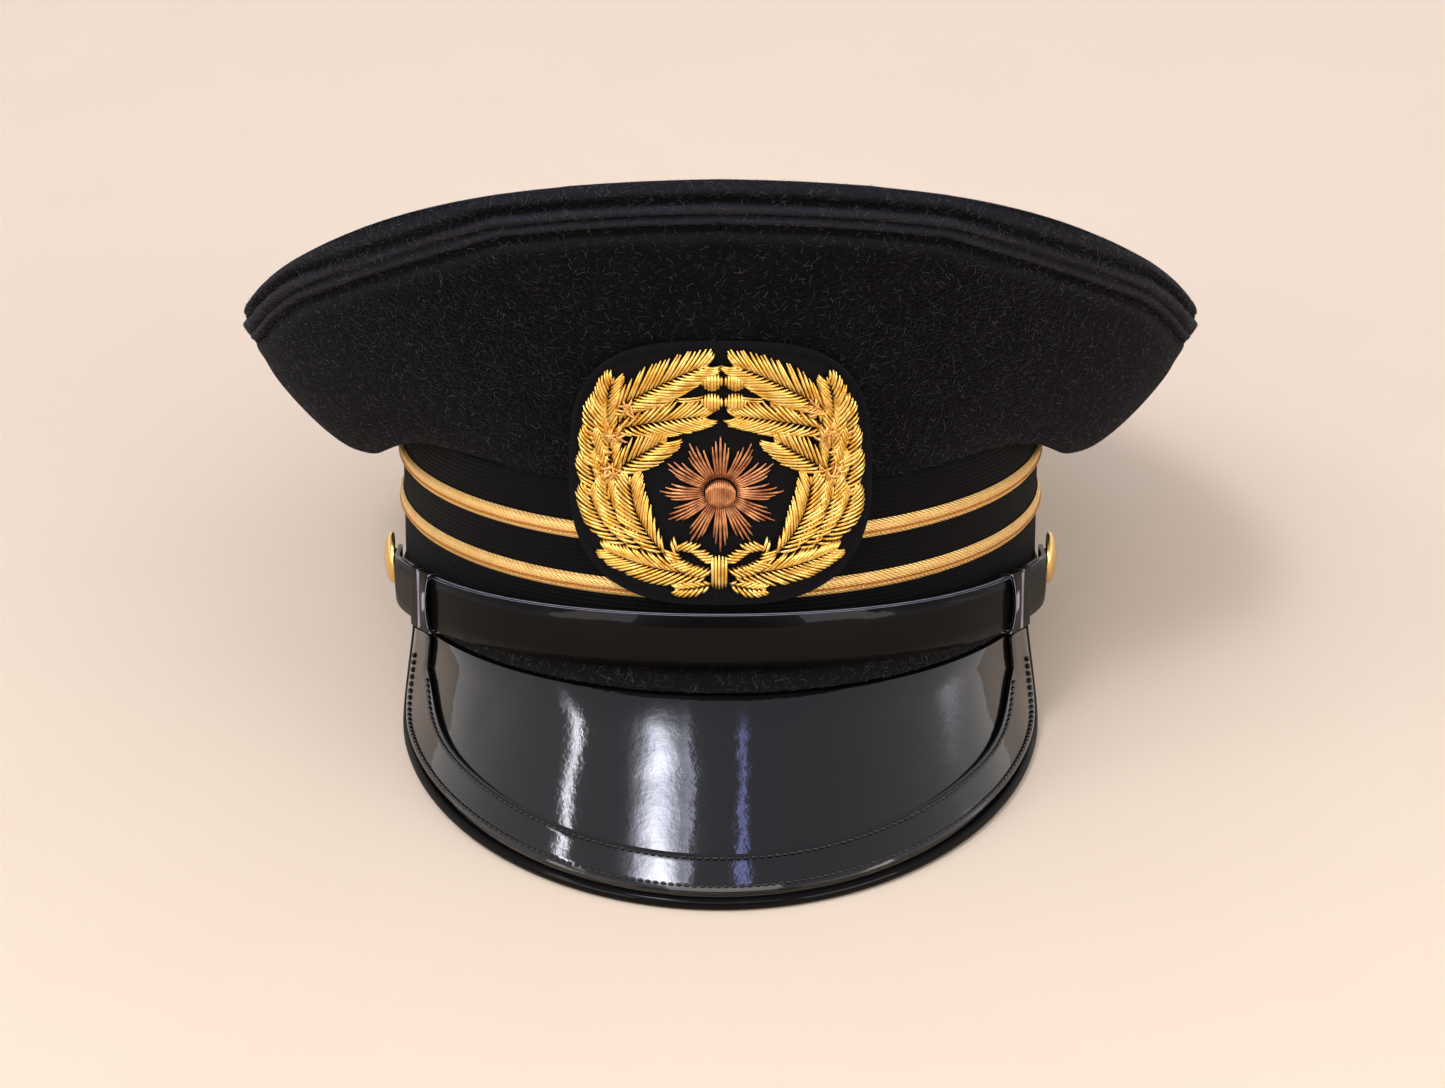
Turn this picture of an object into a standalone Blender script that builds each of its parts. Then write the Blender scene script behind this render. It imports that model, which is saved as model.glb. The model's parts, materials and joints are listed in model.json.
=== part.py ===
"""Peaked uniform cap with two gold braids, a chin strap and an embroidered badge.

Lengths are metres. The cap is drawn in its own frame first: +Z up from the lower edge
of the head band, the peak towards -Y. An empty then tips it back to its rest on a flat
surface, where the peak's edge and the back of the band touch.
Angles round the band are measured from the front, positive towards +X.
"""
from bisect import bisect_right
from collections import namedtuple
from math import asin, copysign, cos, degrees, exp, hypot, log, pi, radians, sin

import bmesh
import bpy
import numpy as np
from mathutils import Matrix, Vector

# Clearance between neighbouring pieces
GAP = 0.0003
# Faces that meet at more than this, in degrees, show an edge
SHARP_ANGLE = 35

# Head band
BAND_HALF_WIDTH = 0.0834
BAND_HALF_LENGTH = 0.103
BAND_HEIGHT = 0.050
BAND_WALL = 0.003
WELT_HEIGHT = 0.006
WELT_PROUD = 0.0015

# Braids
BRAID_WIDTH = 0.0041
BRAID_THICKNESS = 0.0007
BRAID_GROOVE = 0.0003
BRAID_LOWER_HEIGHT = 0.0234
BRAID_PITCH = 0.0128

# Crown
CLOTH = 0.002
RIM_HALF_WIDTH = 0.1218
RIM_HALF_LENGTH = 0.129
RIM_SET_BACK = 0.002
RIM_FRONT_HEIGHT = 0.1205
BELLY_DROP = 0.0184
SEAM_ALLOWANCE = 0.0024
SEAM_RIDGE = 0.003
SEAM_PUFF = 0.0007
ROLL_HEIGHT = 0.0083
ROLL_OUT = 0.0022
PANEL_SINK = 0.0015
HALF_SIDES = 22
RING_SIDES = 2 * HALF_SIDES

# Peak
PEAK_HALF_WIDTH = 0.0813
PEAK_REACH = 0.1363
PEAK_BACK = 0.038
PEAK_DROP = 0.0422
PEAK_SQUARENESS = 2.0
PEAK_THICKNESS = 0.0024
PEAK_ROOT_LIFT = 0.0012
PEAK_ROOT_END = 59.5
PEAK_EDGE_END = 67.5
PEAK_RISE_FROM = 78
PEAK_CORNER_FROM = 82
BORDER_WIDTH = 0.0092
BORDER_CORNER_WIDTH = 0.0157
BORDER_CORNER_FROM = 56
BORDER_THICKNESS = 0.001
BORDER_CORNER_EASE = 2.2
BEAD_DIAMETER = 0.0034
PEAK_SECTIONS = 32
PEAK_EVEN_SHARE = 0.35

# Chin strap
STRAP_WIDTH = 0.0133
STRAP_THICKNESS = 0.0010
STRAP_FRONT_HEIGHT = 0.01445
STRAP_SIDE_HEIGHT = 0.0092
STRAP_TAB_WIDTH = 0.0062
STRAP_TAB_LIFT = 0.0006
TONGUE_LENGTH = 0.0128
KEEPER_FRONT = 53.8
KEEPER_SPAN = 7.2
KEEPER_FRONT_WIDTH = 0.0064
KEEPER_REAR_WIDTH = 0.0046
KEEPER_SPACE = 0.0003
KEEPER_THICKNESS = 0.0007
KEEPER_FLARE = 0.0013

# Side buttons
BUTTON_ANGLE = 82.2
BUTTON_HEIGHT = 0.0086
BUTTON_DIAMETER = 0.0140
BUTTON_THICKNESS = 0.0030
BUTTON_SHANK = 0.0050
BUTTON_FOOT = 0.0006
BUTTON_CROWN = 0.001

# Badge
PATCH_HALF_WIDTH = 0.0347
PATCH_HALF_HEIGHT = 0.0335
PATCH_CENTRE = 0.0563
PATCH_SQUARENESS = 3.0
PATCH_THICKNESS = 0.0018
PATCH_BRIDGE = 0.005
WREATH_CENTRE = 0.0567
WREATH_HALF_WIDTH = 0.0240
WREATH_HALF_HEIGHT = 0.0232
WREATH_SQUARENESS = 2.4
WREATH_WIDTH = 0.0152
WREATH_RELIEF = 0.0016
WREATH_FOOT = 8
WREATH_TIP = 171
WREATH_TIP_RISE = 0.24
WREATH_LEAVES = 8
BOW_HALF_WIDTH = 0.0112
BOW_HALF_HEIGHT = 0.0062
BOW_CENTRE = 0.0332
BOW_THICKNESS = 0.0010
BERRY_DIAMETER = 0.0048
BERRY_OFFSET = 0.0007
BERRY_SPREAD = 0.0026
BERRY_HEIGHT = 0.0784
BERRY_ROW = 0.0054
ROSETTE_CENTRE = 0.0522
ROSETTE_RADIUS = 0.0141
ROSETTE_PETALS = 12
ROSETTE_RELIEF = 0.0012
BOSS_RADIUS = 0.0034

# Crown sections round the cap: angle from the front in degrees, height of the rim seam
# as a share of its front height, and how far the cloth swells into a belly, from 0 to 1
Section = namedtuple("Section", "angle seam belly")
CROWN_SECTIONS = (
    Section(0, 1.000, 0.00),
    Section(7, 0.995, 0.00),
    Section(14, 0.984, 0.01),
    Section(21, 0.967, 0.03),
    Section(29, 0.938, 0.05),
    Section(36, 0.903, 0.08),
    Section(45, 0.846, 0.12),
    Section(55, 0.768, 0.22),
    Section(65, 0.686, 0.42),
    Section(75, 0.604, 0.66),
    Section(80, 0.572, 0.78),
    Section(90, 0.538, 0.93),
    Section(114, 0.512, 1.00),
    Section(140, 0.530, 1.00),
    Section(180, 0.560, 1.00),
)

# Stations of the quarters' outer face from the band to the rim. Where there is no belly:
# shares of the overhang and of the height. In full belly: share of the overhang, share
# of the drop below the band's top, and share of the rise from there to the rim
Station = namedtuple("Station", "out up belly_out drop rise")
QUARTER_STATIONS = (
    Station(0.00, 0.00, 0.00, 0.00, 0.00),
    Station(0.09, 0.08, 0.01, 0.50, 0.00),
    Station(0.17, 0.16, 0.05, 0.86, 0.00),
    Station(0.25, 0.24, 0.13, 1.00, 0.00),
    Station(0.34, 0.33, 0.22, 1.00, 0.01),
    Station(0.44, 0.43, 0.33, 1.00, 0.04),
    Station(0.55, 0.54, 0.49, 1.00, 0.17),
    Station(0.67, 0.66, 0.66, 1.00, 0.36),
    Station(0.79, 0.78, 0.83, 1.00, 0.59),
    Station(0.90, 0.89, 0.93, 1.00, 0.80),
)

# The rolled rim above its seam: way out as a share of the roll's overhang, height as a
# share of the roll's height
Roll = namedtuple("Roll", "out up")
ROLL_STATIONS = (
    Roll(0.55, 0.10),
    Roll(0.85, 0.25),
    Roll(0.62, 0.44),
    Roll(1.00, 0.68),
    Roll(0.55, 0.91),
    Roll(-0.90, 1.00),
)

# Rings of the top panel, as shares of the way from its middle to the roll
PANEL_RINGS = (0.95, 0.84, 0.67, 0.45, 0.22)

# Rings of the patch, as shares of the way from its middle to its edge
PATCH_RINGS = (1.0, 0.84, 0.66, 0.46, 0.24)

# One leaf pair of the wreath: place along the leaf, share of the spray's width and share
# of its relief
Leaf = namedtuple("Leaf", "along width relief")
LEAF_STATIONS = (
    Leaf(0.00, 0.70, 0.55),
    Leaf(0.45, 1.00, 1.00),
    Leaf(0.80, 0.82, 0.70),
)

# A section across the spray: place as a share of its half width, share of the relief
Outline = namedtuple("Outline", "across height")
SPRAY_OUTLINE = (
    Outline(-1.0, 0.0),
    Outline(-0.9, 0.5),
    Outline(-0.5, 1.0),
    Outline(0.0, 0.7),
    Outline(0.5, 1.0),
    Outline(0.9, 0.5),
    Outline(1.0, 0.0),
    Outline(0.4, 0.0),
    Outline(-0.4, 0.0),
)

# The bow from its middle outwards: shares of its half width, of its half height below
# and above its middle line
Bow = namedtuple("Bow", "across below above")
BOW_STATIONS = (
    Bow(0.00, 0.80, 0.50),
    Bow(0.18, 0.80, 0.50),
    Bow(0.24, 0.35, 0.30),
    Bow(0.60, 0.75, 0.95),
    Bow(0.85, 1.00, 0.80),
    Bow(1.00, 0.80, 0.45),
)

# Colours, roughness and metallic value of each finish
FINISHES = {
    "wool": ((0.010, 0.010, 0.012), 0.95, 0.0),
    "ribbed_cloth": ((0.011, 0.011, 0.014), 0.85, 0.0),
    "felt": ((0.009, 0.009, 0.010), 0.95, 0.0),
    "gold_braid": ((0.75, 0.45, 0.11), 0.45, 0.6),
    "patent_leather": ((0.012, 0.012, 0.016), 0.08, 0.0),
    "gilt": ((0.80, 0.50, 0.12), 0.25, 1.0),
    "gold_bullion": ((0.72, 0.43, 0.07), 0.40, 0.8),
    "copper_bullion": ((0.50, 0.22, 0.11), 0.45, 0.8),
}


def clear_scene():
    for old in list(bpy.data.objects):
        bpy.data.objects.remove(old, do_unlink=True)


def make_finish(name):
    colour, roughness, metallic = FINISHES[name]
    material = bpy.data.materials.new(name)
    material.use_nodes = True
    shader = material.node_tree.nodes["Principled BSDF"]
    shader.inputs["Base Color"].default_value = (*colour, 1.0)
    shader.inputs["Roughness"].default_value = roughness
    shader.inputs["Metallic"].default_value = metallic
    return material


def add_piece(name, bm, finish, parent):
    """Makes a named object of a closed mesh, with its faces pointing out."""
    bmesh.ops.recalc_face_normals(bm, faces=bm.faces)
    mesh = bpy.data.meshes.new(name)
    bm.to_mesh(mesh)
    bm.free()
    mesh.shade_smooth()
    mesh.set_sharp_from_angle(angle=radians(SHARP_ANGLE))
    mesh.materials.append(finish)
    piece = bpy.data.objects.new(name, mesh)
    bpy.context.collection.objects.link(piece)
    piece.parent = parent
    return piece


def skin(bm, sections, ring):
    """Faces between neighbouring sections, each a closed loop; ring joins the last one
    to the first, and otherwise both ends are capped."""
    loops = [[bm.verts.new(point) for point in section] for section in sections]
    pairs = list(zip(loops, loops[1:]))
    if ring:
        pairs.append((loops[-1], loops[0]))
    for near, far in pairs:
        for k in range(len(near)):
            after = (k + 1) % len(near)
            bm.faces.new((near[k], near[after], far[after], far[k]))
    if not ring:
        bm.faces.new(loops[0])
        bm.faces.new(loops[-1])


def loft(name, sections, finish, parent, ring=False):
    bm = bmesh.new()
    skin(bm, sections, ring)
    return add_piece(name, bm, finish, parent)


def turn(bm, rings):
    """Skins rings from one pole point to another, as on a lathe."""
    loops = [[bm.verts.new(point) for point in ring] for ring in rings[1:-1]]
    poles = (bm.verts.new(rings[0][0]), bm.verts.new(rings[-1][0]))
    count = len(loops[0])
    for near, far in zip(loops, loops[1:]):
        for k in range(count):
            after = (k + 1) % count
            bm.faces.new((near[k], near[after], far[after], far[k]))
    for k in range(count):
        after = (k + 1) % count
        bm.faces.new((poles[0], loops[0][k], loops[0][after]))
        bm.faces.new((poles[1], loops[-1][after], loops[-1][k]))


def eased(rows, place, across, value):
    """A table's value at a place, on a smooth curve that is level at both ends."""
    xs = [getattr(row, across) for row in rows]
    ys = [getattr(row, value) for row in rows]
    slopes = [float(slope) for slope in np.gradient(ys, xs)]
    slopes[0] = slopes[-1] = 0.0
    place = min(max(place, xs[0]), xs[-1])
    k = min(bisect_right(xs, place) - 1, len(xs) - 2)
    span = xs[k + 1] - xs[k]
    t = (place - xs[k]) / span
    start = (1 + 2 * t) * (1 - t) ** 2 * ys[k] + t * (1 - t) ** 2 * span * slopes[k]
    end = t * t * (3 - 2 * t) * ys[k + 1] + t * t * (t - 1) * span * slopes[k + 1]
    return start + end


def smoothstep(t):
    t = min(max(t, 0.0), 1.0)
    return t * t * (3 - 2 * t)


def offset_path(path, distance):
    """The path moved sideways to its left, with mitred corners."""
    moved = []
    points = [np.array(point) for point in path]
    for k, point in enumerate(points):
        sides = []
        if k > 0:
            sides.append(point - points[k - 1])
        if k < len(points) - 1:
            sides.append(points[k + 1] - point)
        normals = [np.array((-side[1], side[0])) / hypot(*side) for side in sides]
        if len(normals) == 2:
            shared = normals[0] + normals[1]
            mitre = shared / (1.0 + float(normals[0] @ normals[1]))
        else:
            mitre = normals[0]
        moved.append(tuple(float(value) for value in point + distance * mitre))
    return moved


# Head band


def on_band(angle, lift, height):
    """A point lifted off the band's outer face."""
    turn_angle = radians(angle)
    across = Vector((BAND_HALF_LENGTH * sin(turn_angle), -BAND_HALF_WIDTH * cos(turn_angle), 0))
    foot = Vector((BAND_HALF_WIDTH * sin(turn_angle), -BAND_HALF_LENGTH * cos(turn_angle), height))
    return foot + lift * across.normalized()


def band_arc(angle, lift):
    """Length round the band for one degree at an angle."""
    return (on_band(angle + 0.5, lift, 0) - on_band(angle - 0.5, lift, 0)).length


def round_band(name, outline, finish, parent):
    """A ring with one outline of lifts and heights all round the band."""
    sections = []
    for k in range(RING_SIDES):
        angle = 360.0 * k / RING_SIDES
        sections.append([on_band(angle, lift, height) for lift, height in outline])
    return loft(name, sections, finish, parent, ring=True)


def make_band(finishes, cap):
    low = WELT_HEIGHT + GAP
    outline = ((-BAND_WALL, low), (0, low), (0, BAND_HEIGHT), (-BAND_WALL, BAND_HEIGHT))
    round_band("band", outline, finishes["ribbed_cloth"], cap)


def make_welt(finishes, cap):
    bulge = 0.87 * WELT_PROUD
    outline = (
        (-BAND_WALL, 0),
        (0.2 * WELT_PROUD, 0),
        (bulge, 0.2 * WELT_HEIGHT),
        (WELT_PROUD, 0.5 * WELT_HEIGHT),
        (bulge, 0.8 * WELT_HEIGHT),
        (0.2 * WELT_PROUD, WELT_HEIGHT),
        (-BAND_WALL, WELT_HEIGHT),
    )
    return round_band("band_welt", outline, finishes["felt"], cap)


def make_braids(finishes, cap):
    for name, low in (("braid_lower", BRAID_LOWER_HEIGHT),
                      ("braid_upper", BRAID_LOWER_HEIGHT + BRAID_PITCH)):
        proud = GAP + BRAID_THICKNESS
        outline = (
            (GAP, low),
            (proud, low + 0.2 * BRAID_WIDTH),
            (proud - BRAID_GROOVE, low + 0.5 * BRAID_WIDTH),
            (proud, low + 0.8 * BRAID_WIDTH),
            (GAP, low + BRAID_WIDTH),
        )
        round_band(name, outline, finishes["gold_braid"], cap)


# Crown


def rim_point(angle):
    turn_angle = radians(angle)
    return Vector((RIM_HALF_WIDTH * sin(turn_angle),
                   RIM_SET_BACK - RIM_HALF_LENGTH * cos(turn_angle), 0))


def rim_height(angle):
    return RIM_FRONT_HEIGHT * eased(CROWN_SECTIONS, abs(angle), "angle", "seam")


def crown_frame(angle):
    """The band's edge, the way out to the rim seam, and how far it is."""
    foot = on_band(angle, 0, 0)
    way = rim_point(angle) - foot
    return foot, way.normalized(), way.length


def quarter_path(angle):
    """The outer face of a quarter as way out and height, from the band's top to the seam."""
    overhang = crown_frame(angle)[2]
    belly = eased(CROWN_SECTIONS, abs(angle), "angle", "belly")
    seam = rim_height(angle)
    seat = BAND_HEIGHT + GAP
    clear = belly * (BRAID_THICKNESS + 3 * GAP)
    path = [(-SEAM_ALLOWANCE, seat)]
    for row in QUARTER_STATIONS:
        plain = (row.out * overhang, seat + row.up * (seam - seat))
        full_out = clear + row.belly_out * (overhang - clear)
        full_up = seat - row.drop * BELLY_DROP + row.rise * (seam - seat + BELLY_DROP)
        path.append(((1 - belly) * plain[0] + belly * full_out,
                     (1 - belly) * plain[1] + belly * full_up))
    last = Vector(path[-1])
    end = Vector((overhang, seam))
    along = (end - last).normalized()
    outward = Vector((along.y, -along.x))
    path.append(tuple(end - SEAM_RIDGE * along))
    path.append(tuple(end - 0.5 * SEAM_RIDGE * along + SEAM_PUFF * outward))
    path.append(tuple(end))
    return path


def crown_point(angle, out, height):
    foot, way, _ = crown_frame(angle)
    point = foot + out * way
    return Vector((point.x, point.y, height))


def make_quarter(name, side, finishes, cap):
    sections = []
    for k in range(HALF_SIDES + 1):
        angle = side * 180.0 * k / HALF_SIDES
        outer = quarter_path(angle)
        inner = offset_path(outer, CLOTH)
        section = [crown_point(angle, *place) for place in outer + inner[::-1]]
        if k in (0, HALF_SIDES):
            for point in section:
                point.x = side * 0.5 * GAP
        sections.append(section)
    loft(name, sections, finishes["wool"], cap)


def panel_height(share, angle, waves):
    """Height of cloth stretched inside the rim, as a membrane takes it."""
    height = waves[0]
    for order in range(1, len(waves)):
        height += 2 * waves[order] * share ** order * cos(order * radians(angle))
    return height


def make_crown_top(finishes, cap):
    angles = [360.0 * k / RING_SIDES for k in range(RING_SIDES)]
    heights = [rim_height(angle if angle <= 180 else 360 - angle) for angle in angles]
    waves = [float(wave) / RING_SIDES for wave in np.fft.rfft(heights).real[:RING_SIDES // 2]]
    outer_rings = [[] for _ in range(1 + len(ROLL_STATIONS) + len(PANEL_RINGS))]
    inner_rings = [[] for _ in outer_rings]
    for angle, height in zip(angles, heights):
        overhang = crown_frame(angle)[2]
        path = [(overhang, height + GAP)]
        for row in ROLL_STATIONS:
            path.append((overhang + row.out * ROLL_OUT, height + row.up * ROLL_HEIGHT))
        centre = Vector((0, RIM_SET_BACK, 0))
        outer = [crown_point(angle, *place) for place in path]
        inner = [crown_point(angle, *place) for place in offset_path(path, CLOTH)]
        for share in PANEL_RINGS:
            spot = centre.lerp(rim_point(angle), share)
            sunk = PANEL_SINK * (1 - share ** 6)
            spot.z = panel_height(share, angle, waves) + ROLL_HEIGHT - sunk
            outer.append(spot)
            inner.append(spot - Vector((0, 0, CLOTH)))
        for k in range(len(outer)):
            outer_rings[k].append(outer[k])
            inner_rings[k].append(inner[k])
    middle = Vector((0, RIM_SET_BACK, waves[0] + ROLL_HEIGHT - PANEL_SINK))
    bm = bmesh.new()
    rings = [[middle]] + outer_rings[::-1] + inner_rings + [[middle - Vector((0, 0, CLOTH))]]
    turn(bm, rings)
    add_piece("crown_top", bm, finishes["wool"], cap)


# Peak


def peak_turn(share):
    """Angle across the peak, from -90 to 90, packed closer towards its ends."""
    return 90 * (PEAK_EVEN_SHARE * share + (1 - PEAK_EVEN_SHARE) * sin(share * pi / 2))


def peak_root(angle):
    return on_band(PEAK_ROOT_END * angle / 90, PEAK_ROOT_LIFT, -GAP)


def peak_edge(angle):
    """The outermost line of the peak. It lies in the plane that the cap rests on, and at
    each end it turns up in a round corner, to stop close under the band's welt."""
    ahead = min(abs(angle) / PEAK_RISE_FROM, 1)
    corner = 0.5 * pi * max(abs(angle) - PEAK_RISE_FROM, 0) / (90 - PEAK_RISE_FROM)
    spin = radians(PEAK_CORNER_FROM * ahead + (90 - PEAK_CORNER_FROM) * sin(corner))
    power = 2.0 / PEAK_SQUARENESS
    across = copysign(abs(sin(spin)) ** power, angle)
    along = abs(cos(spin)) ** power
    y = -PEAK_BACK - (PEAK_REACH - PEAK_BACK) * along
    rest_drop = PEAK_DROP * (BAND_HALF_LENGTH - y) / (BAND_HALF_LENGTH + PEAK_REACH)
    lying = Vector((PEAK_HALF_WIDTH * across, y, -rest_drop))
    top = on_band(copysign(PEAK_EDGE_END, angle), PEAK_ROOT_LIFT, -0.5 * BEAD_DIAMETER - 2 * GAP)
    return lying.lerp(top, 1 - cos(corner))


def peak_line(angle):
    """Start, direction, length and outward side of the straight line down the peak, and
    how much longer a width square to the edge is along it."""
    root = peak_root(angle)
    way = peak_edge(angle) - root
    down = way.normalized()
    before = max(angle - 0.5, -90)
    after = min(angle + 0.5, 90)
    along_edge = peak_edge(after) - peak_edge(before)
    along_root = peak_root(after) - peak_root(before)
    outward = down.cross(along_edge + along_root).normalized()
    slant = 1.0 / down.cross(along_edge.normalized()).length
    return root, down, way.length, outward, slant


def peak_places():
    """Angles of the lines down the peak, from its left end to its right one."""
    return [peak_turn(2.0 * k / PEAK_SECTIONS - 1) for k in range(PEAK_SECTIONS + 1)]


def border_span(angle):
    """Where the border starts and ends along a line down the peak."""
    _, down, length, outward, slant = peak_line(angle)
    end = length - (BEAD_DIAMETER + 2 * GAP) * slant
    under_welt = GAP + (GAP + BORDER_THICKNESS) * outward.z / -down.z
    corner = max((abs(angle) - BORDER_CORNER_FROM) / (90 - BORDER_CORNER_FROM), 0)
    width = BORDER_WIDTH + (BORDER_CORNER_WIDTH - BORDER_WIDTH) * sin(pi * corner ** BORDER_CORNER_EASE)
    return max(end - width * slant, under_welt), end


def make_peak(finishes, cap):
    sections = []
    for angle in peak_places():
        root, down, _, outward, _ = peak_line(angle)
        start, end = border_span(angle)
        edge = root + end * down
        back = root - PEAK_THICKNESS * outward
        back += (root.z - back.z) / down.z * down
        sections.append([root, root + start * down, edge, edge - PEAK_THICKNESS * outward, back])
    loft("peak", sections, finishes["patent_leather"], cap)


def make_peak_border(finishes, cap):
    sections = []
    under = 1.7 * GAP
    top = GAP + BORDER_THICKNESS
    for angle in peak_places():
        root, down, _, outward, _ = peak_line(angle)
        start, end = border_span(angle)
        sections.append([root + way * down + lift * outward for way, lift in
                         ((start, under), (start, top), (end, top), (end, under))])
    loft("peak_border", sections, finishes["patent_leather"], cap)


def tube(name, path, sides_out, radius, finish, parent):
    """A round bead along a path; sides_out gives its outward side at each point."""
    sections = []
    for k, point in enumerate(path):
        before = path[max(k - 1, 0)]
        after = path[min(k + 1, len(path) - 1)]
        along = (after - before).normalized()
        across = along.cross(sides_out[k]).normalized()
        side = across.cross(along)
        loop = []
        for step in range(8):
            spin = 2 * pi * (step + 0.5) / 8
            loop.append(point + radius * (cos(spin) * across + sin(spin) * side))
        sections.append(loop)
    return loft(name, sections, finish, parent)


def make_peak_binding(finishes, cap):
    """The bead round the peak's edge, whose ends turn up to the band's welt."""
    radius = 0.5 * BEAD_DIAMETER
    path = []
    sides_out = []
    for angle in peak_places():
        root, down, length, outward, slant = peak_line(angle)
        path.append(root + (length - radius * slant) * down - 0.2 * PEAK_THICKNESS * outward)
        sides_out.append(outward)
    tops = [Vector((path[end].x, path[end].y, -2 * GAP)) for end in (0, -1)]
    path = [tops[0]] + path + [tops[1]]
    sides_out = [sides_out[0]] + sides_out + [sides_out[-1]]
    return tube("peak_binding", path, sides_out, radius, finishes["patent_leather"], cap)


# Chin strap


STRAP_LIFT = WELT_PROUD + 2 * GAP + KEEPER_THICKNESS
KEEPER_END = KEEPER_FRONT + KEEPER_SPAN


def strap_height(angle):
    fall = cos(radians(min(abs(angle) * 90 / BUTTON_ANGLE, 90))) ** 2
    return STRAP_SIDE_HEIGHT + (STRAP_FRONT_HEIGHT - STRAP_SIDE_HEIGHT) * fall


def strap_section(angle, lift, width, beyond=0.0):
    """Four corners across the strap; beyond carries it straight on past its angle."""
    middle = strap_height(angle)
    side = 1 if angle >= 0 else -1
    straight = (on_band(angle + side * 0.5, lift, 0) - on_band(angle - side * 0.5, lift, 0))
    shift = beyond * straight.normalized()
    corners = []
    for rise, height in ((lift, -0.5), (lift + STRAP_THICKNESS, -0.5),
                         (lift + STRAP_THICKNESS, 0.5), (lift, 0.5)):
        corners.append(on_band(angle, rise, middle + height * width) + shift)
    return corners


def make_strap_outer(finishes, cap):
    lift = STRAP_LIFT + STRAP_THICKNESS + GAP
    tongue = ((0.55, 1.0), (0.80, 0.97), (0.94, 0.84), (1.0, 0.62))
    sections = []
    for beyond, width in tongue[::-1]:
        sections.append(strap_section(-KEEPER_END, lift, width * STRAP_WIDTH,
                                      beyond * TONGUE_LENGTH))
    for k in range(HALF_SIDES + 1):
        angle = KEEPER_END * (2.0 * k / HALF_SIDES - 1)
        sections.append(strap_section(angle, lift, STRAP_WIDTH))
    for beyond, width in tongue:
        sections.append(strap_section(KEEPER_END, lift, width * STRAP_WIDTH,
                                      beyond * TONGUE_LENGTH))
    loft("chin_strap_outer", sections, finishes["patent_leather"], cap)


def make_strap_inner(finishes, cap):
    tab_end = BUTTON_ANGLE + degrees(0.6 * STRAP_TAB_WIDTH / BAND_HALF_LENGTH)
    sections = []
    spans = 2 * HALF_SIDES
    for k in range(spans + 1):
        angle = tab_end * (2.0 * k / spans - 1)
        taper = smoothstep((abs(angle) - KEEPER_END - 2) / (BUTTON_ANGLE - KEEPER_END - 5))
        width = STRAP_WIDTH + (STRAP_TAB_WIDTH - STRAP_WIDTH) * taper
        drop = smoothstep((abs(angle) - BUTTON_ANGLE + 8) / 6)
        lift = STRAP_LIFT + (STRAP_TAB_LIFT - STRAP_LIFT) * drop
        if k in (0, spans):
            width *= 0.6
        sections.append(strap_section(angle, lift, width))
    loft("chin_strap_inner", sections, finishes["patent_leather"], cap)


def keeper_outline(top, flare, shell):
    """Corners of a loop round the strap, as lift and height about the strap's middle;
    shell is the loop's thickness, and flare how far its outer side bows off the strap."""
    low = STRAP_LIFT - GAP
    reach = 0.5 * STRAP_WIDTH + KEEPER_SPACE
    cut = 0.5 * STRAP_THICKNESS
    outline = [(low - shell, -reach + cut), (low - shell, reach - cut),
               (low + cut, reach + shell)]
    for share in (1.0, 0.6, 0.0, -0.6, -1.0):
        bow = (1 - share * share) * flare
        outline.append((top + bow + shell, share * (reach + shell)))
    outline.append((low + cut, -reach - shell))
    return outline


def make_keeper(name, start, width, flare, finishes, cap):
    side = 1 if start >= 0 else -1
    top = STRAP_LIFT + 2 * STRAP_THICKNESS + 2 * GAP
    end = start + side * width / band_arc(start, top)
    rows = []
    for angle, bow, shell in ((start, flare, 0), (start, flare, KEEPER_THICKNESS),
                              (end, 0, KEEPER_THICKNESS), (end, 0, 0)):
        rows.append([on_band(angle, lift, strap_height(angle) + height)
                     for lift, height in keeper_outline(top, bow, shell)])
    sections = [list(section) for section in zip(*rows)]
    loft(name, sections, finishes["patent_leather"], cap, ring=True)


def make_keepers(finishes, cap):
    for word, side in (("left", -1), ("right", 1)):
        start = side * KEEPER_FRONT
        make_keeper(f"keeper_{word}_front", start, KEEPER_FRONT_WIDTH, KEEPER_FLARE,
                    finishes, cap)
        step = (KEEPER_FRONT_WIDTH + GAP) / band_arc(KEEPER_FRONT, STRAP_LIFT)
        make_keeper(f"keeper_{word}_rear", start + side * step, KEEPER_REAR_WIDTH, 0,
                    finishes, cap)


# Side buttons


def turned_piece(name, outline, sides, finish, parent):
    """A solid turned about its own Z from rows of radius and height."""
    rings = [[Vector((0, 0, outline[0][1]))]]
    for radius, height in outline:
        ring = []
        for k in range(sides):
            spin = 2 * pi * k / sides
            ring.append(Vector((radius * cos(spin), radius * sin(spin), height)))
        rings.append(ring)
    rings.append([Vector((0, 0, outline[-1][1]))])
    bm = bmesh.new()
    turn(bm, rings)
    return add_piece(name, bm, finish, parent)


def stand(piece, foot, facing):
    """Sets a turned piece on its foot with its axis along facing."""
    turned = facing.to_track_quat("Z", "Y").to_matrix().to_4x4()
    piece.matrix_local = Matrix.Translation(foot) @ turned


def dome_outline(radius, height, steps, foot):
    """Rows of a dome from its rim, foot above the ground, up to near its crown."""
    rows = []
    for k in range(steps):
        climb = 0.5 * pi * k / steps
        rows.append((radius * cos(climb), foot + height * sin(climb)))
    return rows


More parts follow.
